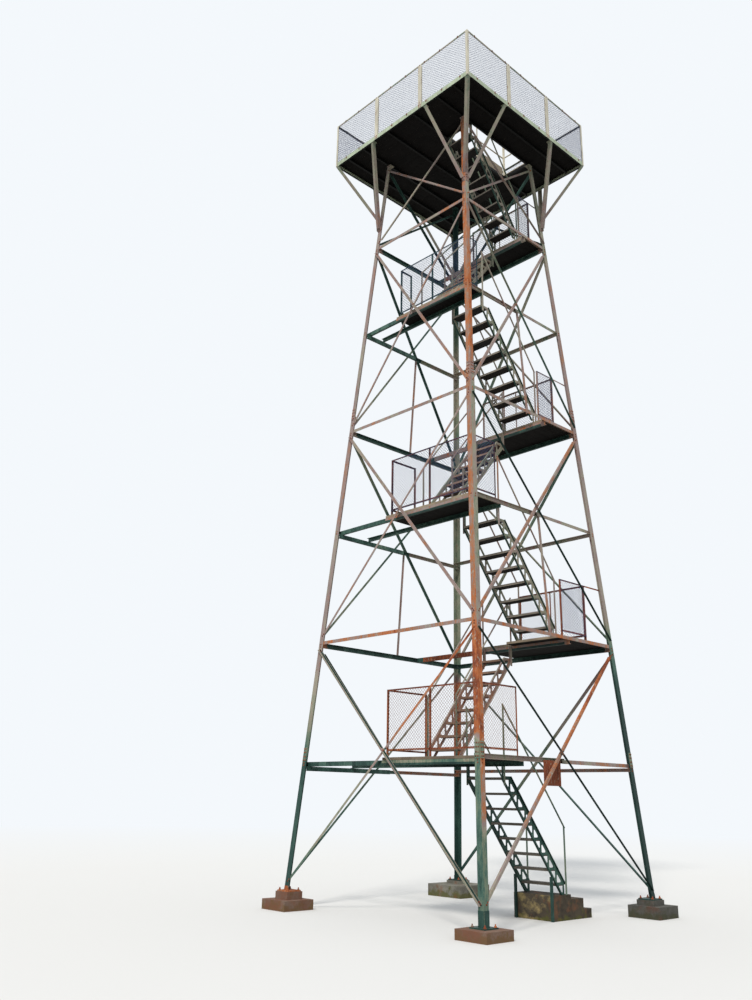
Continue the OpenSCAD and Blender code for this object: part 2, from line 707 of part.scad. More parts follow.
module top_deck_struts() {
    z = leg_top - strut_drop;
    foot = half(z);
    corner_z = z + corner_up;
    corner = half(corner_z) - strut_w / 5;
    out = deck_half - joist_f / 2;
    head = leg_top - splice_t / 2 - strut_w / 7;
    wide = upper_leg_w - 4;
    color("DarkSeaGreen") four_sides() {
        for (s = [-1, 1]) union() {
            strut([s * (foot - leg_w / 2), -foot - splice_t - strut_w * 0.6, z],
                [s * strut_side, -out, head]);
            leg_flange(0, s, z - plate_h / 2, z + plate_h / 2, 10, wide, -splice_t, splice_t);
            translate([s * strut_side - strut_pad / 2, -deck_half, leg_top - splice_t])
                cube([strut_pad, strut_pad, splice_t]);
        }
        union() {
            strut([-corner, -corner, corner_z], [-out, -out, head]);
            leg_flange(0, -1, corner_z - plate_h / 2, corner_z + plate_h / 2, 10, wide, -splice_t, splice_t);
            translate([-deck_half, -deck_half, leg_top - splice_t]) cube([strut_pad, strut_pad, splice_t]);
        }
    }
}
module guard_posts() {
    z = leg_top + 10;
    color("Wheat") four_sides() {
        for (x = [-post_side, post_side]) translate([x - post_w / 2, -deck_half, z])
            linear_extrude(guard_top - guard_t - z) angle_profile(post_w, post_t, 1, -1);
        translate([-deck_half - post_t, -deck_half - post_t, z]) linear_extrude(guard_top - z)
            angle_profile(corner_w, post_t, 1, 1);
    }
}
module guard_rail() {
    // Two long rails, and two that fit between them
    color("Wheat") for (s = [-1, 1]) {
        translate([0, s * deck_half, guard_top]) along_x(-deck_half, deck_half)
            angle_profile(guard_w, guard_t, -s, -1);
        translate([s * deck_half, 0, guard_top])
            along_y(guard_w + play - deck_half, deck_half - guard_w - play)
                angle_profile(guard_w, guard_t, -s, -1);
    }
}
module guard_mesh() {
    in = deck_half - guard_t - wire_t;
    color("LightSteelBlue") four_sides() translate([-in + 1, -in - wire_t, top_deck])
        mesh_panel(2 * in - 2, guard_top - guard_t - top_deck);
}
// Pipe railing beside the stair opening: two posts or more with two rails
module pipe_x(x0, x1, y, posts) {
    high = hatch_rail_h - pipe_d / 2;
    union() {
        for (i = [0:posts - 1]) translate([x0 + i * (x1 - x0) / (posts - 1), y, 0])
            cylinder(d = pipe_d, h = high, $fn = 12);
        for (h = [high / 2, high]) translate([x0, y, h]) rotate([0, 90, 0])
            cylinder(d = pipe_d, h = x1 - x0, $fn = 12);
    }
}
module hatch_rail() {
    y0 = hatch_y0 - pipe_d;
    y1 = hatch_y1 + pipe_d;
    x0 = -top_edge + 60;
    x1 = hatch_far + pipe_d;
    gap = pipe_d + play;
    color("Wheat") translate([0, 0, top_deck]) {
        pipe_x(x0, x1, y0, 3);
        pipe_x(x0, x1, y1, 3);
        translate([x1, y0 + gap, 0]) rotate([0, 0, 90]) pipe_x(0, y1 - y0 - 2 * gap, 0, 2);
    }
}

footings();
step_block();
base_shoes();
leg(0);  // leg_front
leg(1);  // leg_right
leg(2);  // leg_back
leg(3);  // leg_left
splices_and_washers();
braces(0);  // braces_front_right
braces(1);  // braces_right_back
braces(2);  // braces_back_left
braces(3);  // braces_left_front
hangers();
level_frame(1);  // level_1_frame
level_frame(2);  // level_2_frame
level_frame(3);  // level_3_frame
level_frame(4);  // level_4_frame
level_frame(5);  // level_5_frame
level_frame(6);  // level_6_frame
landing_deck(1);  // landing_1_deck
landing_deck(2);  // landing_2_deck
landing_deck(3);  // landing_3_deck
landing_deck(4);  // landing_4_deck
landing_deck(5);  // landing_5_deck
landing_deck(6);  // landing_6_deck
flight_stringers(1);  // flight_1_stringers
flight_stringers(2);  // flight_2_stringers
flight_stringers(3);  // flight_3_stringers
flight_stringers(4);  // flight_4_stringers
flight_stringers(5);  // flight_5_stringers
flight_stringers(6);  // flight_6_stringers
flight_stringers(7);  // flight_7_stringers
odd_flight_treads();
even_flight_treads();
stair_handrails();
odd_landing_rails();
even_landing_rails();
landing_mesh();
top_deck_frame();
top_deck_planks();
top_deck_struts();
guard_posts();
guard_rail();
guard_mesh();
hatch_rail();
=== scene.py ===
"""The looks of the fire lookout tower: its paint and timber, and the parts that are too fine for the CAD.

The corners are called front, right, back and left, and the front leg is the one nearest to the camera.
Face 0 runs from the front leg to the right one, and faces 1 to 3 follow round the tower. Lengths are metres.
"""
import math
from itertools import product

import bpy
import numpy as np
from mathutils import Matrix, Vector


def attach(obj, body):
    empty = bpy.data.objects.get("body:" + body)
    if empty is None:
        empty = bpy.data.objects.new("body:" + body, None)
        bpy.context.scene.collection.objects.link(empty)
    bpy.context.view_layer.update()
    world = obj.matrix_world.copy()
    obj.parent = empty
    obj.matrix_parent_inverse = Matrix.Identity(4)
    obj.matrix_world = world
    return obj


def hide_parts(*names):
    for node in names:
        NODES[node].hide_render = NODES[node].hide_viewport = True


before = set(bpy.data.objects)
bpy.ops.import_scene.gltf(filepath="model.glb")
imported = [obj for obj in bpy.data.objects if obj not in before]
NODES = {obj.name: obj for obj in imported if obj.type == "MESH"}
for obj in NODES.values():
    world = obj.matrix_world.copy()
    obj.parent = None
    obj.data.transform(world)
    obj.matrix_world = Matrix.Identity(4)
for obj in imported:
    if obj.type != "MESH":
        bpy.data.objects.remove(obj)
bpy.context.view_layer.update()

# Camera: its place, its direction in degrees, and its focal length in pixels of a frame 1000 pixels high
CAMERA_PLACE = (-13.2947, -11.6259, 1.9196)
YAW, PITCH, ROLL = (math.radians(angle) for angle in (46.927, 18.029, 1.068))
FOCAL_PIXELS, FRAME_PIXELS, SENSOR = 912.95, 1000, 36

# Measures of the CAD: half the width at the ground, the lean of the legs, and the heights of the levels
FOOT, BATTER, STOREY, BASE = 2.347, 0.075, 2.2, 0.33
TILT = math.atan(BATTER)
TOP = BASE + 7 * STOREY
LEVELS = range(1, 7)
# Top of the landing beams over their level, and where each landing's deck ends
BEAM_UP = (-0.010, -0.010, 0.060, -0.010, 0.120, -0.010)
DECK_END = (0.105, 0.300, 0.460, 0.400, 0.570, 0.500)
LEG_T, SPLICE_T = 0.010, 0.008
SPLICES = (2.650, 9.520)
# Panels of the bracing, from level to level, and how far a diagonal ends from the corner and from the level
PANELS = ((0, 2), (2, 4), (4, 6), (6, 7))
BAR_IN, BAR_OFF = 0.065, 0.145
# The top deck and the posts of its guard
DECK_HALF, DECK_TOP, GUARD_TOP = 2.003, TOP + 0.100, TOP + 1.129
POST_X, POST_W, POST_CLEAR = 0.668, 0.090, 0.048

X, Y, Z = Vector((1, 0, 0)), Vector((0, 1, 0)), Vector((0, 0, 1))


def level(k):
    return BASE + k * STOREY


def half(z):
    """Half the width of the tower at a height."""
    return FOOT - BATTER * z


def beam_top(k):
    return level(k) + BEAM_UP[k - 1]


def crossing(low, high):
    """Height at which two diagonals cross that run between the heights low and high."""
    at_low, at_high = half(low) - BAR_IN, half(high) - BAR_IN
    return low + (high - low) * at_low / (at_low + at_high)


def turned(i):
    """The turn that carries face 0 to face i."""
    return Matrix.Rotation(math.pi / 2 * i, 3, "Z")


def face_point(i, along, depth, z):
    """A point on face i: depth is inwards from its outer plane, and z is its height on that plane."""
    on_face = Vector((along, depth, z / math.cos(TILT)))
    return turned(i) @ (Matrix.Rotation(-TILT, 3, "X") @ on_face + Vector((0, -FOOT, 0)))


def face_axes(i):
    """Columns: along face i, up its slope, and outwards."""
    axes = turned(i) @ Matrix.Rotation(-TILT, 3, "X")
    return Matrix((axes.col[0], axes.col[2], -axes.col[1])).transposed()


def make_camera():
    forward = Vector((math.cos(YAW) * math.cos(PITCH), math.sin(YAW) * math.cos(PITCH), math.sin(PITCH)))
    level_right = Vector((math.sin(YAW), -math.cos(YAW), 0))
    level_up = level_right.cross(forward)
    right = math.cos(ROLL) * level_right + math.sin(ROLL) * level_up
    up = -math.sin(ROLL) * level_right + math.cos(ROLL) * level_up
    camera = bpy.data.objects.new("camera", bpy.data.cameras.new("camera"))
    bpy.context.scene.collection.objects.link(camera)
    axes = Matrix((right, up, -forward)).transposed()
    camera.matrix_world = Matrix.Translation(CAMERA_PLACE) @ axes.to_4x4()
    camera.data.sensor_width = SENSOR
    camera.data.lens = FOCAL_PIXELS / FRAME_PIXELS * SENSOR
    camera.data.clip_end = 300
    bpy.context.scene.camera = camera


# Node trees
HIGHEST = 17
GLOSS = 0.2


class Tree:
    """The nodes of a material or a world, written as calls that return sockets."""

    def __init__(self, owner):
        self.owner = owner
        owner.use_nodes = True
        owner.node_tree.nodes.clear()

    def new(self, kind, **settings):
        node = self.owner.node_tree.nodes.new(kind)
        for key, value in settings.items():
            setattr(node, key, value)
        return node

    def put(self, socket, value):
        """Links a socket to another one, or sets its value."""
        if isinstance(value, bpy.types.NodeSocket):
            self.owner.node_tree.links.new(value, socket)
        else:
            socket.default_value = value

    def fill(self, node, *values):
        """Puts values into a node's first sockets and returns its first output."""
        for socket, value in zip(node.inputs, values):
            self.put(socket, value)
        return node.outputs[0]

    def end(self, kind, shader):
        """Puts the whole tree's shader into its output."""
        self.put(self.new(kind).inputs[0], shader)
        return self.owner

    def math(self, operation, *values):
        return self.fill(self.new("ShaderNodeMath", operation=operation), *values)

    def add(self, a, b):
        return self.math("ADD", a, b)

    def times(self, a, b):
        return self.math("MULTIPLY", a, b)

    def above(self, a, b):
        return self.math("GREATER_THAN", a, b)

    def below(self, a, b):
        return self.math("LESS_THAN", a, b)

    def size(self, a):
        return self.math("ABSOLUTE", a)

    def span(self, value, low, high, to_low=0.0, to_high=1.0):
        return self.fill(self.new("ShaderNodeMapRange"), value, low, high, to_low, to_high)

    def mix(self, share, a, b, blend="MIX"):
        """Colour a where share is 0 and b where it is 1."""
        node = self.new("ShaderNodeMix", data_type="RGBA", blend_type=blend)
        self.put(node.inputs[0], share)
        for socket, colour in ((node.inputs[6], a), (node.inputs[7], b)):
            self.put(socket, colour if isinstance(colour, bpy.types.NodeSocket) else (*colour, 1))
        return node.outputs[2]

    def pick(self, share, a, b):
        """Number a where share is 0 and b where it is 1."""
        node = self.new("ShaderNodeMix", data_type="FLOAT")
        self.put(node.inputs[0], share)
        self.put(node.inputs[2], a)
        self.put(node.inputs[3], b)
        return node.outputs[0]


class Surface(Tree):
    """A material, with the places and directions that the finishes go by."""

    def __init__(self, name):
        super().__init__(bpy.data.materials.new(name))
        self.place = self.new("ShaderNodeTexCoord").outputs["Object"]
        geometry = self.new("ShaderNodeNewGeometry").outputs
        self.island = geometry["Random Per Island"]
        self.x, self.y, self.z = self.split(self.place)
        self.nx, self.ny, self.nz = self.split(geometry["Normal"])

    def split(self, vector):
        node = self.new("ShaderNodeSeparateXYZ")
        self.put(node.inputs[0], vector)
        return node.outputs[0], node.outputs[1], node.outputs[2]

    def stretch(self, by, shift=0.0):
        node = self.new("ShaderNodeMapping")
        self.put(node.inputs["Vector"], self.place)
        node.inputs["Scale"].default_value = by
        node.inputs["Location"].default_value = (shift, shift * 1.7, shift * 0.6)
        return node.outputs[0]

    def noise(self, scale, detail, rough, by=(1, 1, 1), shift=0.0):
        node = self.new("ShaderNodeTexNoise")
        self.put(node.inputs["Vector"], self.stretch(by, shift))
        node.inputs["Scale"].default_value = scale
        node.inputs["Detail"].default_value = detail
        node.inputs["Roughness"].default_value = rough
        return node.outputs["Fac"]

    def swing(self, *noise, **where):
        """Noise that goes to both sides of 0."""
        return self.add(self.noise(*noise, **where), -0.5)

    def cells(self, scale):
        node = self.new("ShaderNodeTexVoronoi")
        self.put(node.inputs["Vector"], self.stretch((1, 1, 1)))
        node.inputs["Scale"].default_value = scale
        return node.outputs["Distance"]

    def ramp(self, value, stops, how="LINEAR"):
        """A colour, or a grey for a number, that follows (position, colour) stops."""
        node = self.new("ShaderNodeValToRGB")
        self.put(node.inputs[0], value)
        ramp = node.color_ramp
        ramp.interpolation = how
        while len(ramp.elements) < len(stops):
            ramp.elements.new(0.5)
        for element, (position, colour) in zip(ramp.elements, stops):
            element.position = position
            element.color = (colour, colour, colour, 1) if isinstance(colour, float) else (*colour, 1)
        return node.outputs[0]

    def shade(self, colour, light):
        """A colour times a number, which counts as 1 where it is more."""
        return self.mix(1.0, colour, self.ramp(light, [(0, 0.0), (1, 1.0)]), "MULTIPLY")

    def by_height(self, stops, how="LINEAR"):
        """A number that changes with height: (height, value) stops."""
        return self.ramp(self.times(self.z, 1 / HIGHEST), [(z / HIGHEST, float(v)) for z, v in stops], how)

    def finish(self, colour, rough, height, bump, depth):
        node = self.new("ShaderNodeBump")
        node.inputs["Strength"].default_value = bump
        node.inputs["Distance"].default_value = depth
        self.put(node.inputs["Height"], height)
        shader = self.new("ShaderNodeBsdfPrincipled")
        shader.inputs["Specular IOR Level"].default_value = GLOSS
        self.put(shader.inputs["Base Color"], colour)
        self.put(shader.inputs["Roughness"], rough)
        self.put(shader.inputs["Normal"], node.outputs[0])
        return self.end("ShaderNodeOutputMaterial", shader.outputs[0])


def dress(material, *names):
    for name in names:
        slots = NODES[name].data.materials
        slots.clear()
        slots.append(material)


# Painted steel: the colour of its paint by age, from 0 for sound paint to 1 for black rust
AGES = (
    (0.00, (0.016, 0.040, 0.034)),  # dark green
    (0.12, (0.030, 0.075, 0.062)),
    (0.24, (0.075, 0.150, 0.118)),  # teal
    (0.36, (0.185, 0.230, 0.160)),  # sage
    (0.47, (0.345, 0.315, 0.240)),  # chalky beige
    (0.57, (0.300, 0.228, 0.222)),  # pink-grey
    (0.66, (0.360, 0.185, 0.110)),
    (0.74, (0.480, 0.148, 0.048)),  # orange rust
    (0.84, (0.270, 0.075, 0.035)),  # red rust
    (1.00, (0.085, 0.028, 0.018)),  # black rust
)
OLD_PAINT, FRESH_RUST = (0.400, 0.375, 0.300), (0.235, 0.090, 0.040)


def steel(t, age, spread, top=0.0):
    """Old painted steel: spread is how far its patches stray from the age, and top ages the upper faces."""
    wide = t.swing(2.2, 6, 0.62, by=(1, 1, 0.45))
    run = t.swing(1.0, 4, 0.6, by=(38, 38, 1.6), shift=3.0)
    patch = t.swing(9.0, 5, 0.7, by=(1, 1, 0.5), shift=7.0)
    fleck = t.swing(70.0, 3, 0.7)
    large = t.add(t.times(wide, 0.55), t.times(run, 0.30))
    small = t.add(t.times(patch, 0.42), t.times(fleck, 0.22))
    value = t.math("MULTIPLY_ADD", t.add(large, small), spread, age)
    if top:
        value = t.add(value, t.times(t.span(t.nz, 0.5, 1.0), top))
    value = t.math("MINIMUM", t.math("MAXIMUM", value, 0.0), 1.0)
    colour = t.ramp(value, AGES)
    # Flakes of old paint left on the rust, and rust that breaks through the paint
    flake = t.span(t.noise(24.0, 4, 0.75, by=(1, 1, 0.45), shift=17.0), 0.585, 0.63)
    flake = t.times(flake, t.span(value, 0.56, 0.64))
    colour = t.mix(t.times(flake, 0.75), colour, OLD_PAINT)
    pock = t.span(t.noise(19.0, 5, 0.75, by=(1, 1, 0.55), shift=23.0), 0.60, 0.65)
    pock = t.times(pock, t.span(value, 0.30, 0.42))
    colour = t.mix(t.times(pock, 0.70), colour, FRESH_RUST)
    colour = t.shade(colour, t.span(t.noise(1.3, 4, 0.6, shift=11.0), 0.35, 0.75, 1.08, 0.80))
    rough = t.add(t.span(value, 0.2, 0.75, 0.50, 0.88), t.times(fleck, 0.2))
    scale = t.times(t.noise(45.0, 4, 0.65), t.span(value, 0.4, 0.75, 0.25, 1.0))
    return t.finish(colour, rough, t.add(scale, t.times(value, 0.3)), bump=0.35, depth=0.003)


# Ages of the legs by height. The left flange of the front leg has its own
LEG_AGES = {
    "leg_front": [
        (0, .26), (1.3, .30), (1.7, .64), (2.75, .68), (2.95, .76), (4.4, .75), (4.9, .44), (6.6, .43),
        (8.6, .50), (9.4, .57), (10.0, .68), (12.6, .69), (13.5, .55), (14.3, .47), (15.2, .49), (15.8, .6)],
    "leg_back": [
        (0, .08), (2.6, .11), (2.8, .78), (4.2, .77), (4.6, .37), (9, .42), (12, .42), (13.2, .12),
        (16, .06)],
    "leg_left": [(0, .10), (2.4, .16), (3.2, .42), (5, .53), (8, .565), (13, .55), (16, .48)],
    "leg_right": [(0, 0), (3.6, 0), (4.5, .20), (5.3, .50), (9, .565), (12.6, .56), (13.4, .42), (16, .46)],
}
LEFT_FLANGE_AGES = [
    (0, .20), (2.75, .25), (2.95, .77), (4.4, .76), (4.9, .64), (8.6, .64), (9.4, .60),
    (10.0, .64), (12.6, .66), (13.5, .70), (15.5, .68), (15.8, .6)]


def paint_legs():
    for name, stops in LEG_AGES.items():
        t = Surface(name)
        age, spread = t.by_height(stops), 0.72
        if name == "leg_front":
            left_flange = t.above(t.size(t.nx), 0.6)
            age, spread = t.pick(left_flange, age, t.by_height(LEFT_FLANGE_AGES)), 1.15
        dress(steel(t, age, spread), name)


# Ages of the diagonals on faces 0 to 3. In each panel the bar that rises to the right comes first and the
# one that falls comes second, both with the age at the foot and at the head
DIAGONAL_AGES = {
    "braces_front_right": (
        ((.47, .86), (.02, .03)), ((.62, .60), (.06, .04)),
        ((.57, .56), (.10, .50)), ((.54, .50), (.50, .54))),
    "braces_right_back": (
        ((.10, .30), (.12, .66)), ((.30, .50), (.54, .20)),
        ((.50, .50), (.20, .50)), ((.04, .04), (.08, .10))),
    "braces_back_left": (
        ((.10, .20), (.12, .60)), ((.12, .38), (.40, .14)),
        ((.12, .10), (.50, .14)), ((.10, .10), (.10, .10))),
    "braces_left_front": (
        ((.26, .88), (.48, .48)), ((.57, .57), (.56, .54)),
        ((.57, .56), (.58, .56)), ((.50, .48), (.56, .54))),
}


def paint_diagonals():
    for i, (name, panels) in enumerate(DIAGONAL_AGES.items()):
        t = Surface(name)
        along = (t.x, t.y, t.times(t.x, -1.0), t.times(t.y, -1.0))[i]
        crossed, rising, falling = [], [], []
        for (a, b), (up, down) in zip(PANELS, panels):
            low, high = level(a), level(b)
            crossed += [(low, 0.0), (crossing(low + BAR_OFF, high - BAR_OFF), 1.0)]
            rising += [(low + 0.1, up[0]), (high - 0.1, up[1])]
            falling += [(low + 0.1, down[0]), (high - 0.1, down[1])]
        rising, falling = t.by_height(rising), t.by_height(falling)
        if name == "braces_left_front":
            # Only the standing flange of the long lower bar is pale
            web = t.times(t.above(t.size(t.nx), 0.8), t.below(t.z, level(2)))
            falling = t.pick(web, falling, .02)
        # Below a crossing the rising bar is on the left, above it on the right
        flip = t.span(t.by_height(crossed, "CONSTANT"), 0, 1, -1, 1)
        is_rising = t.above(t.times(along, flip), 0.0)
        dress(steel(t, t.pick(is_rising, falling, rising), 0.85), name)


def paint_small_steel():
    dress(steel(Surface("hanger_paint"), 0.57, 0.9), "hangers")
    t = Surface("splice_paint")
    dress(steel(t, t.by_height([(2.5, .30), (3.2, .34), (9, .58), (16, .55)]), 1.1), "splices_and_washers")
    # The left leg's shoe is rusty. The other shoes and the posts beside the step block are dark
    t = Surface("shoe_rust")
    at_left_leg = t.times(t.below(t.x, -1.0), t.above(t.y, 1.0))
    at_step_block = t.below(t.size(t.x), 1.0)
    dress(steel(t, t.pick(at_step_block, t.pick(at_left_leg, .04, .78), .05), 0.8), "base_shoes")


# For each level: ages of the beams, of the ties, and of the beam beside the landing at its top edge
FRAME_AGES = (
    (.13, .60, .34), (.10, .64, .62), (.16, .50, .57),
    (.12, .58, .60), (.14, .48, .60), (.16, .57, .56))
BEAM_H, FLANGE_TIP, TOP_EDGE = 0.100, 0.012, 0.046


def paint_frame(k, beam, tie, edge):
    name = f"level_{k}_frame"
    t = Surface(name)
    corner = half(level(k))
    wall = corner - 0.30
    down = t.math("SUBTRACT", beam_top(k), t.z)
    # Below its top edge the beam takes a near-black age: painted shade beneath the landing's deck
    edge_over_shaded_web = t.pick(t.below(down, TOP_EDGE), .04 if k % 2 else .03, edge)
    by_deck = t.below(t.y, DECK_END[k - 1])
    if k % 2:
        # The light ties run from the front beam to the right leg, round the right side, and along the back
        is_tie = t.above(t.x, 0.22)
        # Along the left side the landing's edge is brown over a web painted black: painted shade beneath the
        # deck
        beam = t.pick(t.times(t.below(t.x, -wall), by_deck), beam, edge_over_shaded_web)
        # The front beam has pale tips to its flanges, and its web between them is darker: partly its dark
        # paint, partly painted shade beneath the top flange
        tip = t.above(t.size(t.math("SUBTRACT", down, BEAM_H / 2)), BEAM_H / 2 - FLANGE_TIP)
        front = t.times(t.below(t.y, -wall - 0.16), t.above(t.x, 0.16 - corner))
        beam = t.pick(front, beam, t.pick(tip, .05, .47))
    else:
        # The light ties run along the front and the left side
        is_tie = t.below(t.math("MINIMUM", t.x, t.y), 0.12 - corner)
        # The beam inside the tower is rusty beyond the landing, most of all on level 2
        inside = t.times(t.above(t.x, 0.45), t.below(t.math("MAXIMUM", t.x, t.y), wall))
        beyond = .86 if k == 2 else .60
        beam = t.pick(inside, beam, t.pick(by_deck, beyond, edge_over_shaded_web))
    dress(steel(t, t.pick(is_tie, beam, tie), 1.15, top=0.34), name)


# Timber
# Painted shade: the near-black colour of the boards' faces that are turned down
UNDERSIDE_SHADE = (0.0046, 0.0038, 0.0034)


def scaled(colour, by):
    return tuple(c * by for c in colour)


def boards(name, axis, pale, deep, underside_shade_colour):
    """Weathered boards with their grain along an axis, and with painted shade on their undersides."""
    t = Surface(name)
    by = (1.5, 26, 26) if axis == "x" else (26, 1.5, 26)
    grain = t.noise(1.6, 6, 0.7, by=by)
    fine = t.noise(5.0, 4, 0.7, by=by, shift=5.0)
    blotch = t.noise(1.8, 5, 0.6)
    tone = t.add(t.times(grain, 0.6), t.add(t.times(blotch, 0.35), t.times(t.island, 0.35)))
    medium = tuple((a + b) / 2 for a, b in zip(deep, pale))
    face = t.ramp(tone, [(0.30, deep), (0.52, medium), (0.82, pale)])
    face = t.shade(face, t.span(fine, 0.60, 0.72, 1.0, 0.45))
    # Boards near the ground are painted darker, as painted shade
    face = t.shade(face, t.span(t.z, 2.4, 5.0, 0.55, 1.0))
    # Faces turned down take a near-black colour with some noise: painted shade beneath the boards
    underside_shade_noise = t.noise(3.0, 5, 0.65, shift=9.0)
    underside_shade = t.ramp(underside_shade_noise, [(0.35, scaled(underside_shade_colour, 0.6)), (0.75, scaled(underside_shade_colour, 1.7))])
    colour = t.mix(t.span(t.nz, -0.15, -0.55), face, underside_shade)
    rough = t.span(grain, 0.3, 0.7, 0.75, 0.95)
    height = t.add(t.times(grain, 0.8), t.times(fine, 0.4))
    return t.finish(colour, rough, height, bump=0.45, depth=0.004)


def paint_timber():
    landing = boards("deck_boards", "x", (0.36, 0.290, 0.205), (0.175, 0.135, 0.100), UNDERSIDE_SHADE)
    top = boards("top_deck_boards", "y", (0.38, 0.32, 0.24), (0.20, 0.165, 0.125), UNDERSIDE_SHADE)
    # grey and brown are the painted shade of the treads' faces that are turned down
    grey, brown = (0.022, 0.020, 0.019), (0.050, 0.030, 0.022)
    odd = boards("odd_tread_boards", "y", (0.34, 0.30, 0.245), (0.14, 0.115, 0.095), grey)
    even = boards("even_tread_boards", "y", (0.36, 0.235, 0.165), (0.165, 0.095, 0.066), brown)
    dress(landing, *(f"landing_{k}_deck" for k in LEVELS))
    dress(top, "top_deck_planks")
    dress(odd, "odd_flight_treads")
    dress(even, "even_flight_treads")


# Stairs and railings: for each flight, the ages of the stringers' broad faces and of their edges
STRINGER_AGES = ((.15, .07), (.60, .50), (.42, .07), (.46, .40), (.44, .08), (.44, .42), (.46, .14))
HANDRAIL_AGES = [(0, .30), (3, .34), (5, .56), (12.8, .50), (13.8, .32), (16, .34)]
LANDING_RAIL_AGES = [
    (2, .80), (4.5, .84), (6.2, .86), (6.9, .98), (8.4, .98), (9, .62), (10.5, .58), (11.4, .12),
    (12.8, .12), (13.4, .55), (16, .52)]


def paint_stairs():
    for k, (broad, edge) in enumerate(STRINGER_AGES, 1):
        name = f"flight_{k}_stringers"
        t = Surface(name)
        is_broad = t.span(t.size(t.ny), 0.6, 0.8)
        dress(steel(t, t.pick(is_broad, edge, broad), 0.95), name)
    t = Surface("stair_rail_paint")
    dress(steel(t, t.by_height(HANDRAIL_AGES), 0.9), "stair_handrails")
    t = Surface("landing_rail_paint")
    dress(steel(t, t.by_height(LANDING_RAIL_AGES), 0.8), "odd_landing_rails", "even_landing_rails")


# Top deck
def chalk(t, pale, shade, rust):
    """Pale chalky paint that rusts through in spots: its colour, roughness and height."""
    wide, fine = t.noise(3.0, 5, 0.6, by=(1, 1, 0.6)), t.noise(55.0, 4, 0.7)
    run = t.noise(1.0, 4, 0.6, by=(45, 45, 2.0), shift=2.0)
    spot = t.noise(14.0, 5, 0.7, by=(1, 1, 0.4), shift=4.0)
    colour = t.mix(t.span(t.add(t.times(wide, 0.6), t.times(run, 0.5)), 0.42, 0.70), pale, shade)
    spot = t.span(t.add(t.times(spot, 0.8), t.times(run, 0.35)), 0.72 - 0.12 * rust, 0.80 - 0.12 * rust)
    colour = t.mix(spot, colour, t.mix(fine, (0.30, 0.105, 0.045), (0.16, 0.06, 0.035)))
    return colour, t.span(spot, 0, 1, 0.55, 0.9), t.add(t.times(fine, 0.5), spot)


def paint_top_deck():
    t = Surface("guard_paint")
    colour, rough, height = chalk(t, (0.70, 0.66, 0.53), (0.47, 0.43, 0.34), 0.5)
    dress(t.finish(colour, rough, height, bump=0.3, depth=0.002), "guard_posts", "hatch_rail")
    dress(steel(Surface("guard_rail_paint"), 0.42, 0.9), "guard_rail")
    # Only the outer faces of the edge beams are pale: the joists, the inner faces and the faces turned down
    # are painted near-black, as painted shade beneath the deck
    t = Surface("fascia_paint")
    colour, rough, height = chalk(t, (0.52, 0.60, 0.44), (0.33, 0.38, 0.27), 0.4)
    rim = t.above(t.math("MAXIMUM", t.size(t.x), t.size(t.y)), DECK_HALF - 0.05)
    # Painted shade: a near-black colour for the joists, the inner faces and the faces turned down
    dark = t.ramp(t.noise(6.0, 5, 0.6), [(0.3, (0.0016, 0.0018, 0.0018)), (0.7, (0.0040, 0.0038, 0.0034))])
    colour = t.mix(t.times(rim, t.above(t.nz, -0.5)), dark, colour)
    dress(t.finish(colour, rough, height, bump=0.3, depth=0.002), "top_deck_frame")
    t = Surface("strut_paint")
    age = t.by_height([(13.8, .55), (14.4, .55), (15.3, .47), (15.66, .40), (15.8, .42)])
    dress(steel(t, age, 0.8), "top_deck_struts")


# Concrete
def concrete(name, pale, deep, moss, rust, weathering_and_shadow):
    """Rough concrete with moss and rust, with what weathering does to its colour, and on one pad a painted
    shadow.
    """
    t = Surface(name)
    wide, mid, fine = t.noise(2.5, 6, 0.65), t.noise(11.0, 5, 0.6, shift=6.0), t.noise(95.0, 3, 0.6)
    colour = t.mix(t.span(t.add(t.times(wide, 0.6), t.times(mid, 0.4)), 0.36, 0.64), deep, pale)
    colour = t.mix(t.times(t.span(fine, 0.35, 0.7), 0.35), colour, (0.05, 0.045, 0.04))
    damp = t.add(t.noise(6.0, 6, 0.7, shift=13.0), t.span(t.z, 0.0, 0.16, 0.25, 0.0))
    green = t.span(damp, 0.66 - moss * 0.25, 0.78 - moss * 0.25)
    colour = t.mix(t.times(green, 0.8), colour, t.mix(mid, (0.060, 0.075, 0.022), (0.15, 0.135, 0.035)))
    red = t.span(t.noise(3.5, 5, 0.6, shift=21.0), 0.62 - rust * 0.3, 0.80 - rust * 0.3)
    colour = t.mix(t.times(red, 0.75), colour, (0.24, 0.095, 0.045))
    colour = weathering_and_shadow(t, colour, wide, mid)
    pits = t.span(t.cells(60.0), 0.0, 0.25)
    height = t.add(t.times(wide, 0.8), t.add(t.times(fine, 0.3), t.times(pits, 0.3)))
    return t.finish(colour, 0.92, height, bump=0.6, depth=0.008)


def weather_block(t, colour, wide, mid):
    """A yellow patch of lichen on the left side of the step block."""
    patch = t.span(t.noise(4.0, 5, 0.65, by=(1, 1, 1.2), shift=2.0), 0.49, 0.66)
    return t.mix(t.times(t.span(t.nx, -0.6, -0.9), patch), colour, (0.32, 0.245, 0.110))


def run_off_and_shadow_pads(t, colour, wide, mid):
    """The front and left pads stand in rusty run-off, and the right one is darkened with a painted shadow.
    """
    run_off = t.span(t.add(wide, t.times(mid, 0.4)), 0.45, 0.75, 0.95, 0.55)
    rusty = t.mix(mid, (0.245, 0.100, 0.058), (0.150, 0.062, 0.038))
    colour = t.mix(t.times(t.below(t.x, 0.0), run_off), colour, rusty)
    # Painted shadow: the right pad is darkened toward near-black
    at_right_leg = t.times(t.above(t.x, 0.0), t.below(t.y, 0.0))
    return t.mix(t.times(at_right_leg, 0.6), colour, (0.035, 0.035, 0.038))


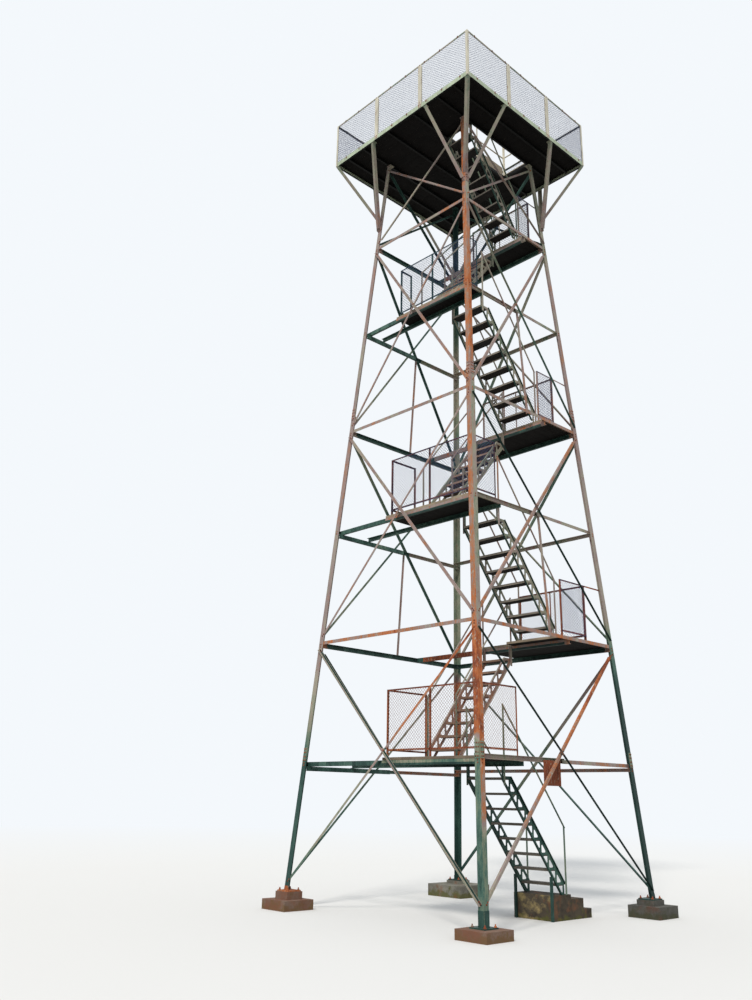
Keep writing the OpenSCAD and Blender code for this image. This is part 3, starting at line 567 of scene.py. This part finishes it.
def paint_concrete():
    block = (0.115, 0.092, 0.062), (0.042, 0.034, 0.026)
    pads = (0.30, 0.285, 0.235), (0.13, 0.125, 0.10)
    dress(concrete("block_concrete", *block, 0.12, 0.25, weather_block), "step_block")
    dress(concrete("pad_concrete", *pads, 0.45, 0.20, run_off_and_shadow_pads), "footings")


# Mesh tools
def islands(node):
    """Lowest and highest corner of each separate solid of a CAD node."""
    mesh = NODES[node].data
    points = np.empty(len(mesh.vertices) * 3, np.float32)
    mesh.vertices.foreach_get("co", points)
    # Points at the same place count as one, and each place takes the lowest label that its edges reach
    places, place_of = np.unique(np.round(points.reshape(-1, 3), 5), axis=0, return_inverse=True)
    edges = np.empty(len(mesh.edges) * 2, np.int32)
    mesh.edges.foreach_get("vertices", edges)
    ends = place_of.ravel()[edges].reshape(-1, 2)
    labels, before = np.arange(len(places)), None
    while before is None or (labels != before).any():
        before = labels
        lowest = np.minimum(labels[ends[:, 0]], labels[ends[:, 1]])
        labels = labels.copy()
        np.minimum.at(labels, ends[:, 0], lowest)
        np.minimum.at(labels, ends[:, 1], lowest)
        labels = labels[labels]
    return [(places[labels == v].min(0), places[labels == v].max(0)) for v in np.unique(labels)]


def angle_outline(w, t):
    """A rolled angle with its heel at the origin, rounded toes and a fillet inside."""
    return [(0, 0), (w, 0), (w, t * 0.55), (w - t * 0.45, t), (t * 1.8, t), (t, t * 1.8),
            (t, w - t * 0.45), (t * 0.55, w), (0, w)]


class Pile:
    """Points and faces that are gathered before they become one piece."""

    def __init__(self):
        self.points, self.faces = [], []

    def add(self, points, faces):
        first = len(self.points)
        self.points += [tuple(point) for point in points]
        self.faces += [tuple(first + v for v in face) for face in faces]

    def prism(self, centre, axes, radius, height, sides=6, crown=0.25):
        """A prism along the third axis with a chamfered end."""
        along, across, out = axes.col
        angles = [2 * math.pi * j / sides for j in range(sides)]
        ring = [along * math.cos(a) + across * math.sin(a) for a in angles]
        rows = ((radius, 0.0), (radius, height * (1 - crown)), (radius * 0.78, height))
        points = [centre + out * h + way * r for r, h in rows for way in ring]
        faces = []
        for row, j in product(range(2), range(sides)):
            a, b = row * sides + j, row * sides + (j + 1) % sides
            faces.append((a, b, b + sides, a + sides))
        faces += [tuple(range(2 * sides, 3 * sides)), tuple(range(sides - 1, -1, -1))]
        self.add(points, faces)

    def bolt(self, centre, axes, size):
        """A washer and a hexagonal head."""
        self.prism(centre - axes.col[2] * 0.001, axes, size * 0.85, 0.004, 12, 0.3)
        self.prism(centre, axes, size * 0.58, size * 0.62)

    def sweep(self, outline, p, q, a, b):
        """An outline drawn on the directions a and b, carried straight from p to q."""
        if a.cross(b).dot(q - p) < 0:
            outline = outline[::-1]
        n = len(outline)
        points = [end + a * u + b * v for end in (p, q) for u, v in outline]
        faces = [(j, (j + 1) % n, n + (j + 1) % n, n + j) for j in range(n)]
        self.add(points, faces + [tuple(range(n - 1, -1, -1)), tuple(range(n, 2 * n))])

    def slab(self, corner, a, b, c, ease=0.0015):
        """A box from a corner along three edge vectors, with its edges eased."""
        lengths = [v.length for v in (a, b, c)]
        directions = [v / n for v, n in zip((a, b, c), lengths)]
        points, index = [], {}
        # Each corner has three points, one on each of the faces that meet there
        for far, face in product(product((0, 1), repeat=3), range(3)):
            point = corner.copy()
            for d in range(3):
                inset = min(ease, lengths[d] / 3) if d != face else 0.0
                point += directions[d] * ((lengths[d] - inset) if far[d] else inset)
            index[far, face] = len(points)
            points.append(point)

        def at(d, s, m, n, face):
            """A corner's point on a face: the corner is at s along axis d, and at m and n after it."""
            far = [0, 0, 0]
            far[d], far[(d + 1) % 3], far[(d + 2) % 3] = s, m, n
            return index[tuple(far), face % 3]

        faces = []
        for d in range(3):
            for s in (0, 1):
                quad = tuple(at(d, s, m, n, d) for m, n in ((0, 0), (1, 0), (1, 1), (0, 1)))
                faces.append(quad if s else quad[::-1])
            for m, n in product((0, 1), repeat=2):
                quad = tuple(at(d, s, m, n, d + face) for s, face in ((0, 1), (1, 1), (1, 2), (0, 2)))
                faces.append(quad if m != n else quad[::-1])
        for far in product((0, 1), repeat=3):
            tip = tuple(index[far, face] for face in range(3))
            faces.append(tip if sum(far) % 2 else tip[::-1])
        self.add(points, faces)

    def piece(self, name, material, slot, *replaced):
        mesh = bpy.data.meshes.new(name)
        mesh.from_pydata(self.points, [], self.faces)
        mesh.update()
        piece = bpy.data.objects.new(name, mesh)
        bpy.context.scene.collection.objects.link(piece)
        mesh.materials.append(material)
        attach(piece, "root")
        if replaced:
            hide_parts(*replaced)


BOLTS, NAILS = Pile(), Pile()

# Chain-link mesh: width of a cell, thickness of the wire, and thickness of the CAD's sheet
CELL, WIRE, SHEET = 0.060, 0.0054, 0.004


def wire_material():
    """Galvanised wire, rusty in spots and at the first landing."""
    t = Surface("galvanised_wire")
    zinc = t.ramp(t.noise(9.0, 4, 0.6), [(0.3, (0.036, 0.055, 0.145)), (0.7, (0.080, 0.112, 0.235))])
    spot = t.span(t.noise(4.0, 5, 0.7, shift=4.0), 0.60, 0.74)
    low = t.span(t.z, 3.6, 4.2, 1.0, 0.0)
    rust = t.math("MAXIMUM", t.times(spot, 0.4), t.times(low, 0.9))
    colour = t.mix(rust, zinc, (0.22, 0.085, 0.040))
    return t.finish(colour, 0.5, t.noise(300.0, 2, 0.5), bump=0.2, depth=0.0005)


def chain_link(pile, lo, hi):
    """An upright panel of zigzag wires that hook into each other, with a straight wire at top and foot."""
    along_x = hi[0] - lo[0] > hi[1] - lo[1]
    u, w = (0, 1) if along_x else (1, 0)
    start, middle = lo[u], (lo[w] + hi[w]) / 2
    wide, tall = hi[u] - lo[u], hi[2] - lo[2]
    radius = WIRE / 2

    def place(along, off, up):
        """A point of the panel, off its middle plane."""
        a, b = start + along, middle + off
        return (a, b, lo[2] + up) if along_x else (b, a, lo[2] + up)

    columns = max(2, round((wide - 2 * WIRE) / (CELL / 2)))
    rows = max(2, round((tall - 2 * WIRE) / (CELL / 2)))
    step, rise = (wide - 2 * WIRE) / columns, (tall - 2 * WIRE) / rows
    section = ((radius * 1.3, 0), (0, radius), (-radius * 1.3, 0), (0, -radius))
    for column in range(columns):
        points = []
        for j in range(rows + 1):
            # At each turn the wire goes a little past its neighbour and to the other side of it
            side = (column + j) % 2
            turn = WIRE + (column + side) * step + (0.35 * radius if side else -0.35 * radius)
            off = radius * (0.55 if side else -0.55)
            points += [place(min(max(turn + a, 0.0), wide), off + b, WIRE + j * rise) for a, b in section]
        faces = []
        for j, s in product(range(rows), range(4)):
            a, b = 4 * j + s, 4 * j + (s + 1) % 4
            faces.append((a, b, b + 4, a + 4))
        pile.add(points, faces + [(3, 2, 1, 0), tuple(4 * rows + s for s in range(4))])
    along, out = (X, Y) if along_x else (Y, X)
    for up in (WIRE, tall - WIRE):
        corner = Vector(place(0, 0, up)) - out * WIRE / 2 - Z * radius
        pile.slab(corner, along * float(wide), out * WIRE, Z * WIRE)


def landing_panels(lo, hi):
    """An odd landing's solid goes round the corner: its two sides are woven apart."""
    if min(hi[0] - lo[0], hi[1] - lo[1]) < 0.1:
        return [(lo, hi)]
    inner = lo + SHEET
    return [(lo, (inner[0], hi[1], hi[2])), ((inner[0], lo[1], lo[2]), (hi[0], inner[1], hi[2]))]


def guard_panels(lo, hi):
    """The guard of the top deck has three bays to a side, between its posts."""
    axis = 0 if hi[0] - lo[0] > hi[1] - lo[1] else 1
    near, far = POST_X - POST_CLEAR, POST_X + POST_CLEAR
    panels = []
    for start, end in ((lo[axis], -far), (-near, near), (far, hi[axis])):
        bay_lo, bay_hi = lo.copy(), hi.copy()
        bay_lo[axis], bay_hi[axis] = start, end
        panels.append((bay_lo, bay_hi))
    return panels


def weave_mesh():
    material = wire_material()
    for name, node, panels in (("chain_link_landings", "landing_mesh", landing_panels),
                               ("chain_link_guard", "guard_mesh", guard_panels)):
        pile = Pile()
        for lo, hi in islands(node):
            for panel_lo, panel_hi in panels(lo, hi):
                chain_link(pile, panel_lo, panel_hi)
        pile.piece(name, material, "wire_mesh", node)


# Diagonals: the width and thickness of a bar, its end past the bolt, and the length that is coped
BAR, BAR_T, BAR_PAST, BAR_COPE = 0.045, 0.005, 0.03, 0.09


def diagonal(pile, i, side, low, high):
    """The bar that rises to the right lies inside the legs, the one that falls lies outside them."""
    axes = face_axes(i)
    along, _, out = (v.copy() for v in axes.col)
    inner = side < 0
    depth = LEG_T if inner else 0.0
    foot = face_point(i, side * (half(low) - BAR_IN), depth, low)
    head = face_point(i, -side * (half(high) - BAR_IN), depth, high)
    run = (head - foot).normalized()
    across = run.cross(out).normalized()
    if across.dot(along) < 0:
        across.negate()
    way = -out if inner else out
    p, q = foot - across * BAR / 2, head - across * BAR / 2
    angle = angle_outline(BAR, BAR_T)
    if inner:
        strip = [(0, 0), (BAR, 0), (BAR, BAR_T), (0, BAR_T)]
        pile.sweep(strip, p - run * BAR_PAST, p + run * BAR_COPE, across, way)
        pile.sweep(angle, p + run * BAR_COPE, q - run * BAR_COPE, across, way)
        pile.sweep(strip, q - run * BAR_COPE, q + run * BAR_PAST, across, way)
    else:
        pile.sweep(angle, p - run * BAR_PAST, q + run * BAR_PAST, across, way)
    face = out * (LEG_T if inner else BAR_T)
    for end, sign in ((foot, 1), (head, -1)):
        for step in (-0.008, 0.036):
            BOLTS.bolt(end + run * sign * step + across * 0.002 + face, axes, 0.018)


def build_diagonals():
    for i, name in enumerate(DIAGONAL_AGES):
        pile = Pile()
        for a, b in PANELS:
            low, high = level(a) + BAR_OFF, level(b) - BAR_OFF
            for side in (-1, 1):
                diagonal(pile, i, side, low, high)
            BOLTS.bolt(face_point(i, 0, -BAR_T, crossing(low, high)), face_axes(i), 0.020)
        pile.piece(name + "_bars", NODES[name].data.materials[0], "green_steel", name)


# Landing railings and hangers
FLOOR_UP, LOW_RAIL = 0.050, 0.140
RAIL_UP_ODD, RAIL_UP_EVEN, RAIL_IN, TO_LEG = 1.150, 1.090, 0.089, 0.079
RAIL, RAIL_T, RAIL_CLEAR = 0.028, 0.004, 0.0005
# Where each landing's railing ends, and where an even landing's railing turns the corner
RAIL_END = (0.100, -0.269, 0.410, 0.370, 0.550, 0.470)
RAIL_TURN = {2: 1.394, 4: 1.130, 6: 1.000}
ODD_INNER_END, EVEN_START = -0.990, 0.611
HANGER, HANGER_T, HANGER_DEPTH = 0.032, 0.005, 0.075


def rail_z(k):
    return beam_top(k) + FLOOR_UP + (RAIL_UP_ODD if k % 2 else RAIL_UP_EVEN)


def railing(pile, k, p, q, side, before=0.0, after=0.0, middle=False):
    """Top rail, lower rail and posts from p to q, with their flat flanges towards side."""
    foot, top, run = beam_top(k) + FLOOR_UP, rail_z(k), (q - p).normalized()
    angle = angle_outline(RAIL, RAIL_T)
    pile.sweep(angle, p - run * before + Z * top, q + run * after + Z * top, side, -Z)
    pile.sweep(angle, p + Z * (foot + LOW_RAIL), q + Z * (foot + LOW_RAIL), side, -Z)
    posts = [(p, run), (q, -run)]
    if middle:
        posts.append(((p + q) / 2, run))
    for at, way in posts:
        pile.sweep(angle, at + Z * foot, at + Z * (top - 0.001), way, side)


def odd_railings(pile, k):
    line, end = half(rail_z(k)) - RAIL_IN, RAIL_END[k - 1]
    inner = RAIL + RAIL_CLEAR - line
    railing(pile, k, Vector((-line, -line, 0)), Vector((-line, end, 0)), X, before=TO_LEG, middle=True)
    railing(pile, k, Vector((inner, -line, 0)), Vector((ODD_INNER_END, -line, 0)), Y)
    railing(pile, k, Vector((inner, end, 0)), Vector((ODD_INNER_END, end, 0)), -Y)


def even_railings(pile, k):
    line, end, turn = half(rail_z(k)) - RAIL_IN, RAIL_END[k - 1], RAIL_TURN[k]
    inner = RAIL + RAIL_CLEAR - line
    railing(pile, k, Vector((EVEN_START, -line, 0)), Vector((turn, -line, 0)), Y, after=line + TO_LEG - turn)
    railing(pile, k, Vector((turn, inner, 0)), Vector((turn, end, 0)), -X, middle=True)


def build_landing_railings():
    for node, build, levels in (("odd_landing_rails", odd_railings, (1, 3, 5)),
                                ("even_landing_rails", even_railings, (2, 4, 6))):
        pile = Pile()
        for k in levels:
            build(pile, k)
        pile.piece(node + "_bars", NODES[node].data.materials[0], "rail_steel", node)


def build_hangers():
    """Upright angles in the middle of two faces, from one level to the next."""
    pile = Pile()
    for k in (3, 5):
        for i, u, low, high in ((0, 0.115, level(k - 1), beam_top(k)),
                                (2, -0.060, beam_top(k - 1), beam_top(k) - 0.151)):
            along, _, out = (v.copy() for v in face_axes(i).col)
            p = face_point(i, u, HANGER_DEPTH, low + 0.009)
            q = face_point(i, u, HANGER_DEPTH, high + 0.004)
            pile.sweep(angle_outline(HANGER, HANGER_T), p, q, along, -out)
    pile.piece("hanger_bars", NODES["hangers"].data.materials[0], "green_steel", "hangers")


# Guard of the top deck: its posts are channels, and its corners and rails are angles
POST_UP, POST_H, WEB_T = 0.010, 1.114, 0.006
FLANGE, FLANGE_T, FLANGE_UP, FLANGE_H = 0.030, 0.005, 0.002, 0.976
CORNER, CORNER_T, TOP_RAIL, TOP_RAIL_T = 0.048, 0.005, 0.034, 0.004
STRAP, STRAP_T, CLIP, CLIP_T = 0.022, 0.005, 0.028, 0.006


def guard_post(pile, foot, along, inwards):
    """A channel with its web outside and its flanges inwards, bolted to the deck's edge and to the rail."""
    heel = foot - inwards * WEB_T + Z * (TOP + POST_UP)
    pile.slab(heel, along * POST_W, inwards * WEB_T, Z * POST_H, 0.001)
    for at in (0.0, POST_W - FLANGE_T):
        heel = foot + along * at + Z * (DECK_TOP + FLANGE_UP)
        pile.slab(heel, along * FLANGE_T, inwards * FLANGE, Z * FLANGE_H, 0.001)
    axes = Matrix((along, Z, -inwards)).transposed()
    for across, up in ((0.024, 0.035), (0.066, 0.035), (0.024, 0.075), (0.066, 0.075), (0.045, 1.108)):
        BOLTS.bolt(foot + along * across - inwards * WEB_T + Z * (TOP + up), axes, 0.015)


def guard_clips(pile, edge, along, inwards, x):
    """A strap over the rail, bent down outside it, and a short one at the deck's edge."""
    strap = edge + along * x - inwards * STRAP_T
    pile.slab(strap + Z * (GUARD_TOP - 0.042), along * STRAP, inwards * STRAP_T, Z * 0.052, 0.0008)
    pile.slab(strap + Z * (GUARD_TOP + 0.004), along * STRAP, inwards * 0.040, Z * 0.006, 0.0008)
    low = edge + along * (x + 0.05) - inwards * CLIP_T + Z * (TOP + 0.048)
    pile.slab(low, along * CLIP, inwards * CLIP_T, Z * 0.050, 0.0008)


def build_guard():
    posts, rails, clips = Pile(), Pile(), Pile()
    for i in range(4):
        along, inwards = turned(i) @ X, turned(i) @ Y
        edge = -inwards * DECK_HALF
        for x in (-POST_X, POST_X):
            guard_post(posts, edge + along * (x - POST_W / 2), along, inwards)
        heel = edge - along * DECK_HALF - (along + inwards) * WEB_T
        corner = angle_outline(CORNER, CORNER_T)
        posts.sweep(corner, heel + Z * (TOP + POST_UP), heel + Z * GUARD_TOP, along, inwards)
        # Two of the rails run through, and the other two end against them
        reach = DECK_HALF - (TOP_RAIL + 0.0005 if i % 2 else 0.0)
        rails.sweep(angle_outline(TOP_RAIL, TOP_RAIL_T), edge - along * reach + Z * GUARD_TOP,
                    edge + along * reach + Z * GUARD_TOP, inwards, -Z)
        for n in range(-3, 5):
            x = (n - 0.5) * 0.5 + 0.04 * math.sin(n * 2.3 + i)
            if min(abs(x - POST_X), abs(x + POST_X)) > 0.07:
                guard_clips(clips, edge, along, inwards, x)
    posts.piece("guard_channel_posts", NODES["guard_posts"].data.materials[0], "cream_steel", "guard_posts")
    rails.piece("guard_angle_rails", NODES["guard_rail"].data.materials[0], "cream_steel", "guard_rail")
    clips.piece("guard_clips", steel(Surface("clip_paint"), 0.93, 0.6), "rusty_steel")


# Boards
NAIL_ROWS = (-1.578, -1.127, -0.436, 0.352, 1.132, 1.622)
CLOSER = 0.0023


def scatter(n):
    """Three numbers from 0 to 1 without a visible order, the same each run."""
    return [(math.sin((n + 1) * s) * 43758.5453) % 1 for s in (12.99, 78.23, 37.72)]


def planking(name, node, axis, nail_rows, nail_in):
    """Boards with eased edges and uneven ends, laid close together where the CAD has its planks."""
    pile, across = Pile(), 1 - axis
    for n, (lo, hi) in enumerate(islands(node)):
        lo, hi = Vector(float(v) for v in lo), Vector(float(v) for v in hi)
        near_end, far_end, worn = scatter(n)
        lo[across] -= CLOSER
        hi[across] += CLOSER
        lo[axis] += 0.006 * near_end
        hi[axis] -= 0.006 * far_end
        hi.z -= 0.002 * worn
        size = hi - lo
        pile.slab(lo, X * size.x, Y * size.y, Z * size.z, 0.0035)
        # A board has its nails in the rows that it crosses, or else near its ends
        rows = [row for row in nail_rows if lo[axis] + 0.03 < row < hi[axis] - 0.03]
        rows = rows or [lo[axis] + nail_in, hi[axis] - nail_in]
        for (m, row), share in product(enumerate(rows), (0.24, 0.76)):
            at = Vector((0, 0, hi.z - 0.0003))
            at[axis] = row + 0.006 * math.sin(n * 3.1 + m)
            at[across] = lo[across] + size[across] * share
            NAILS.prism(at, Matrix.Identity(3), 0.0052, 0.0013, 8, 0.3)
    pile.piece(name, NODES[node].data.materials[0], "deck_wood", node)


def lay_boards():
    planking("boards_top_deck", "top_deck_planks", 1, NAIL_ROWS, 0.06)
    for k in LEVELS:
        planking(f"boards_landing_{k}", f"landing_{k}_deck", 0, (), 0.05)
    NAILS.piece("nail_heads", steel(Surface("nail_rust"), 0.92, 0.5), "rusty_steel")


# Bolts: height of each leg's base plate, distance of its anchor bolts from its middle, and the struts' feet
SHOE_Z = (0.170, 0.310, 0.310, 0.320)
SHOE_IN, ANCHOR, STRUT_FOOT = 0.062, 0.118, TOP - 1.700


def leg_bolts(i, side):
    """Bolts in one leg flange of face i: at the splices, the beams, the ties and the foot of the strut."""
    axes = face_axes(i)
    for z, along, up in product(SPLICES, (-0.021, 0.021), (-0.100, -0.038, 0.038, 0.100)):
        BOLTS.bolt(face_point(i, side * (half(z) - 0.049 + along), -SPLICE_T, z + up), axes, 0.017)
    for k, up in product(LEVELS, (-0.022, 0.022)):
        z = beam_top(k) - 0.042 + up
        BOLTS.bolt(face_point(i, side * (half(z) - 0.052), 0, z), axes, 0.017)
    for up, along in product((-0.036, 0.036), (-0.022, 0.022)):
        across = side * (half(STRUT_FOOT) - 0.050 + along)
        BOLTS.bolt(face_point(i, across, -SPLICE_T, STRUT_FOOT + up), axes, 0.015)


def anchor_bolts(i):
    """Four anchor bolts with washers and nuts in the base plate of leg i."""
    middle = SHOE_IN - half(SHOE_Z[i])
    for x, y in product((-ANCHOR, ANCHOR), repeat=2):
        spot = turned(i) @ Vector((middle + x, middle + y, SHOE_Z[i]))
        BOLTS.prism(spot, Matrix.Identity(3), 0.028, 0.004, 16, 0.2)
        BOLTS.prism(spot + Z * 0.004, Matrix.Identity(3), 0.019, 0.018, 6, 0.2)
        BOLTS.prism(spot + Z * 0.022, Matrix.Identity(3), 0.011, 0.022, 10, 0.2)


def set_bolts():
    for i in range(4):
        for side in (-1, 1):
            leg_bolts(i, side)
        anchor_bolts(i)
    BOLTS.piece("bolt_heads", steel(Surface("bolt_rust"), 0.86, 1.0), "rusty_steel")


# A bare plate bolted to the front beam of the first level, and a toe board beside the stair opening
PLATE_CORNER, PLATE_W, PLATE_T, PLATE_H = Vector((-0.430, -2.0625, 2.150)), 0.475, 0.0045, 0.410
TOE_CORNER, TOE_L, TOE_T, TOE_H = Vector((0.284, -0.442, DECK_TOP + 0.001)), 0.745, 0.024, 0.190


def add_bare_plate():
    pile = Pile()
    pile.slab(PLATE_CORNER, X * PLATE_W, Y * PLATE_T, Z * PLATE_H, 0.001)
    axes = Matrix((X, Z, -Y)).transposed()
    for across, up in product((0.05, PLATE_W - 0.05), (0.045, PLATE_H - 0.025)):
        pile.bolt(PLATE_CORNER + X * across + Z * up, axes, 0.018)
    pile.piece("bare_plate", steel(Surface("plate_rust"), 0.88, 0.6), "rusty_steel")


def add_toe_board():
    pile = Pile()
    pile.slab(TOE_CORNER, X * TOE_L, Y * TOE_T, Z * TOE_H, 0.003)
    pile.piece("toe_board", NODES["top_deck_planks"].data.materials[0], "deck_wood")


# Stage and light
SKY = (0.905, 0.940, 0.975, 1)
FLOOR_LIT, FLOOR_SEEN = (0.34, 0.33, 0.31, 1), (0.74, 0.73, 0.71, 1)
FLOOR_RADIUS, FLOOR_SIDES = 90, 48
SKY_LIGHT, SKY_STRENGTH = (0.90, 0.95, 1.0, 1), 0.80
SUN_WAY, SUN_STRENGTH, SUN_WIDTH = Vector((-0.80, -0.42, 0.95)), 2.2, math.radians(9)


def floor_material():
    """A floor that the camera sees pale, and that fades to the sky from 12 to 45 metres out."""
    t = Tree(bpy.data.materials.new("floor"))
    seen = t.new("ShaderNodeLightPath").outputs["Is Camera Ray"]
    distance = t.new("ShaderNodeVectorMath", operation="LENGTH")
    t.put(distance.inputs[0], t.new("ShaderNodeTexCoord").outputs["Object"])
    tint = t.new("ShaderNodeMix", data_type="RGBA")
    t.put(tint.inputs[0], seen)
    t.put(tint.inputs[6], FLOOR_LIT)
    t.put(tint.inputs[7], FLOOR_SEEN)
    near = t.fill(t.new("ShaderNodeBsdfDiffuse"), tint.outputs[2])
    far = t.fill(t.new("ShaderNodeEmission"), SKY)
    fade = t.times(t.span(distance.outputs["Value"], 12, 45), seen)
    return t.end("ShaderNodeOutputMaterial", t.fill(t.new("ShaderNodeMixShader"), fade, near, far))


def make_floor():
    steps = [2 * math.pi * j / FLOOR_SIDES for j in range(FLOOR_SIDES)]
    mesh = bpy.data.meshes.new("floor")
    ring = [(FLOOR_RADIUS * math.cos(a), FLOOR_RADIUS * math.sin(a), 0.0) for a in steps]
    mesh.from_pydata(ring, [], [tuple(range(FLOOR_SIDES))])
    mesh.materials.append(floor_material())
    floor = bpy.data.objects.new("floor", mesh)
    bpy.context.scene.collection.objects.link(floor)


def make_world():
    """Soft light from all sides, and a pale sky for what the camera, gloss and glass show."""
    world = bpy.context.scene.world or bpy.data.worlds.new("world")
    bpy.context.scene.world = world
    t = Tree(world)
    rays = t.new("ShaderNodeLightPath").outputs
    seen = t.math("MAXIMUM", rays["Is Camera Ray"], rays["Is Glossy Ray"])
    seen = t.math("MAXIMUM", seen, rays["Is Transmission Ray"])
    light = t.fill(t.new("ShaderNodeBackground"), SKY_LIGHT, SKY_STRENGTH)
    sky = t.fill(t.new("ShaderNodeBackground"), SKY, 1.0)
    t.end("ShaderNodeOutputWorld", t.fill(t.new("ShaderNodeMixShader"), seen, light, sky))


def make_sun():
    sun = bpy.data.objects.new("sun", bpy.data.lights.new("sun", "SUN"))
    sun.data.energy = SUN_STRENGTH
    sun.data.angle = SUN_WIDTH
    sun.data.color = (1.0, 0.965, 0.91)
    sun.rotation_euler = SUN_WAY.to_track_quat("Z", "Y").to_euler()
    bpy.context.scene.collection.objects.link(sun)


make_camera()

paint_legs()
paint_diagonals()
paint_small_steel()
for k, ages in enumerate(FRAME_AGES, 1):
    paint_frame(k, *ages)
paint_timber()
paint_stairs()
paint_top_deck()
paint_concrete()

weave_mesh()
build_diagonals()
build_landing_railings()
build_hangers()
build_guard()
lay_boards()
set_bolts()
add_bare_plate()
add_toe_board()

make_floor()
make_world()
make_sun()
bpy.context.scene.view_settings.view_transform = "Standard"
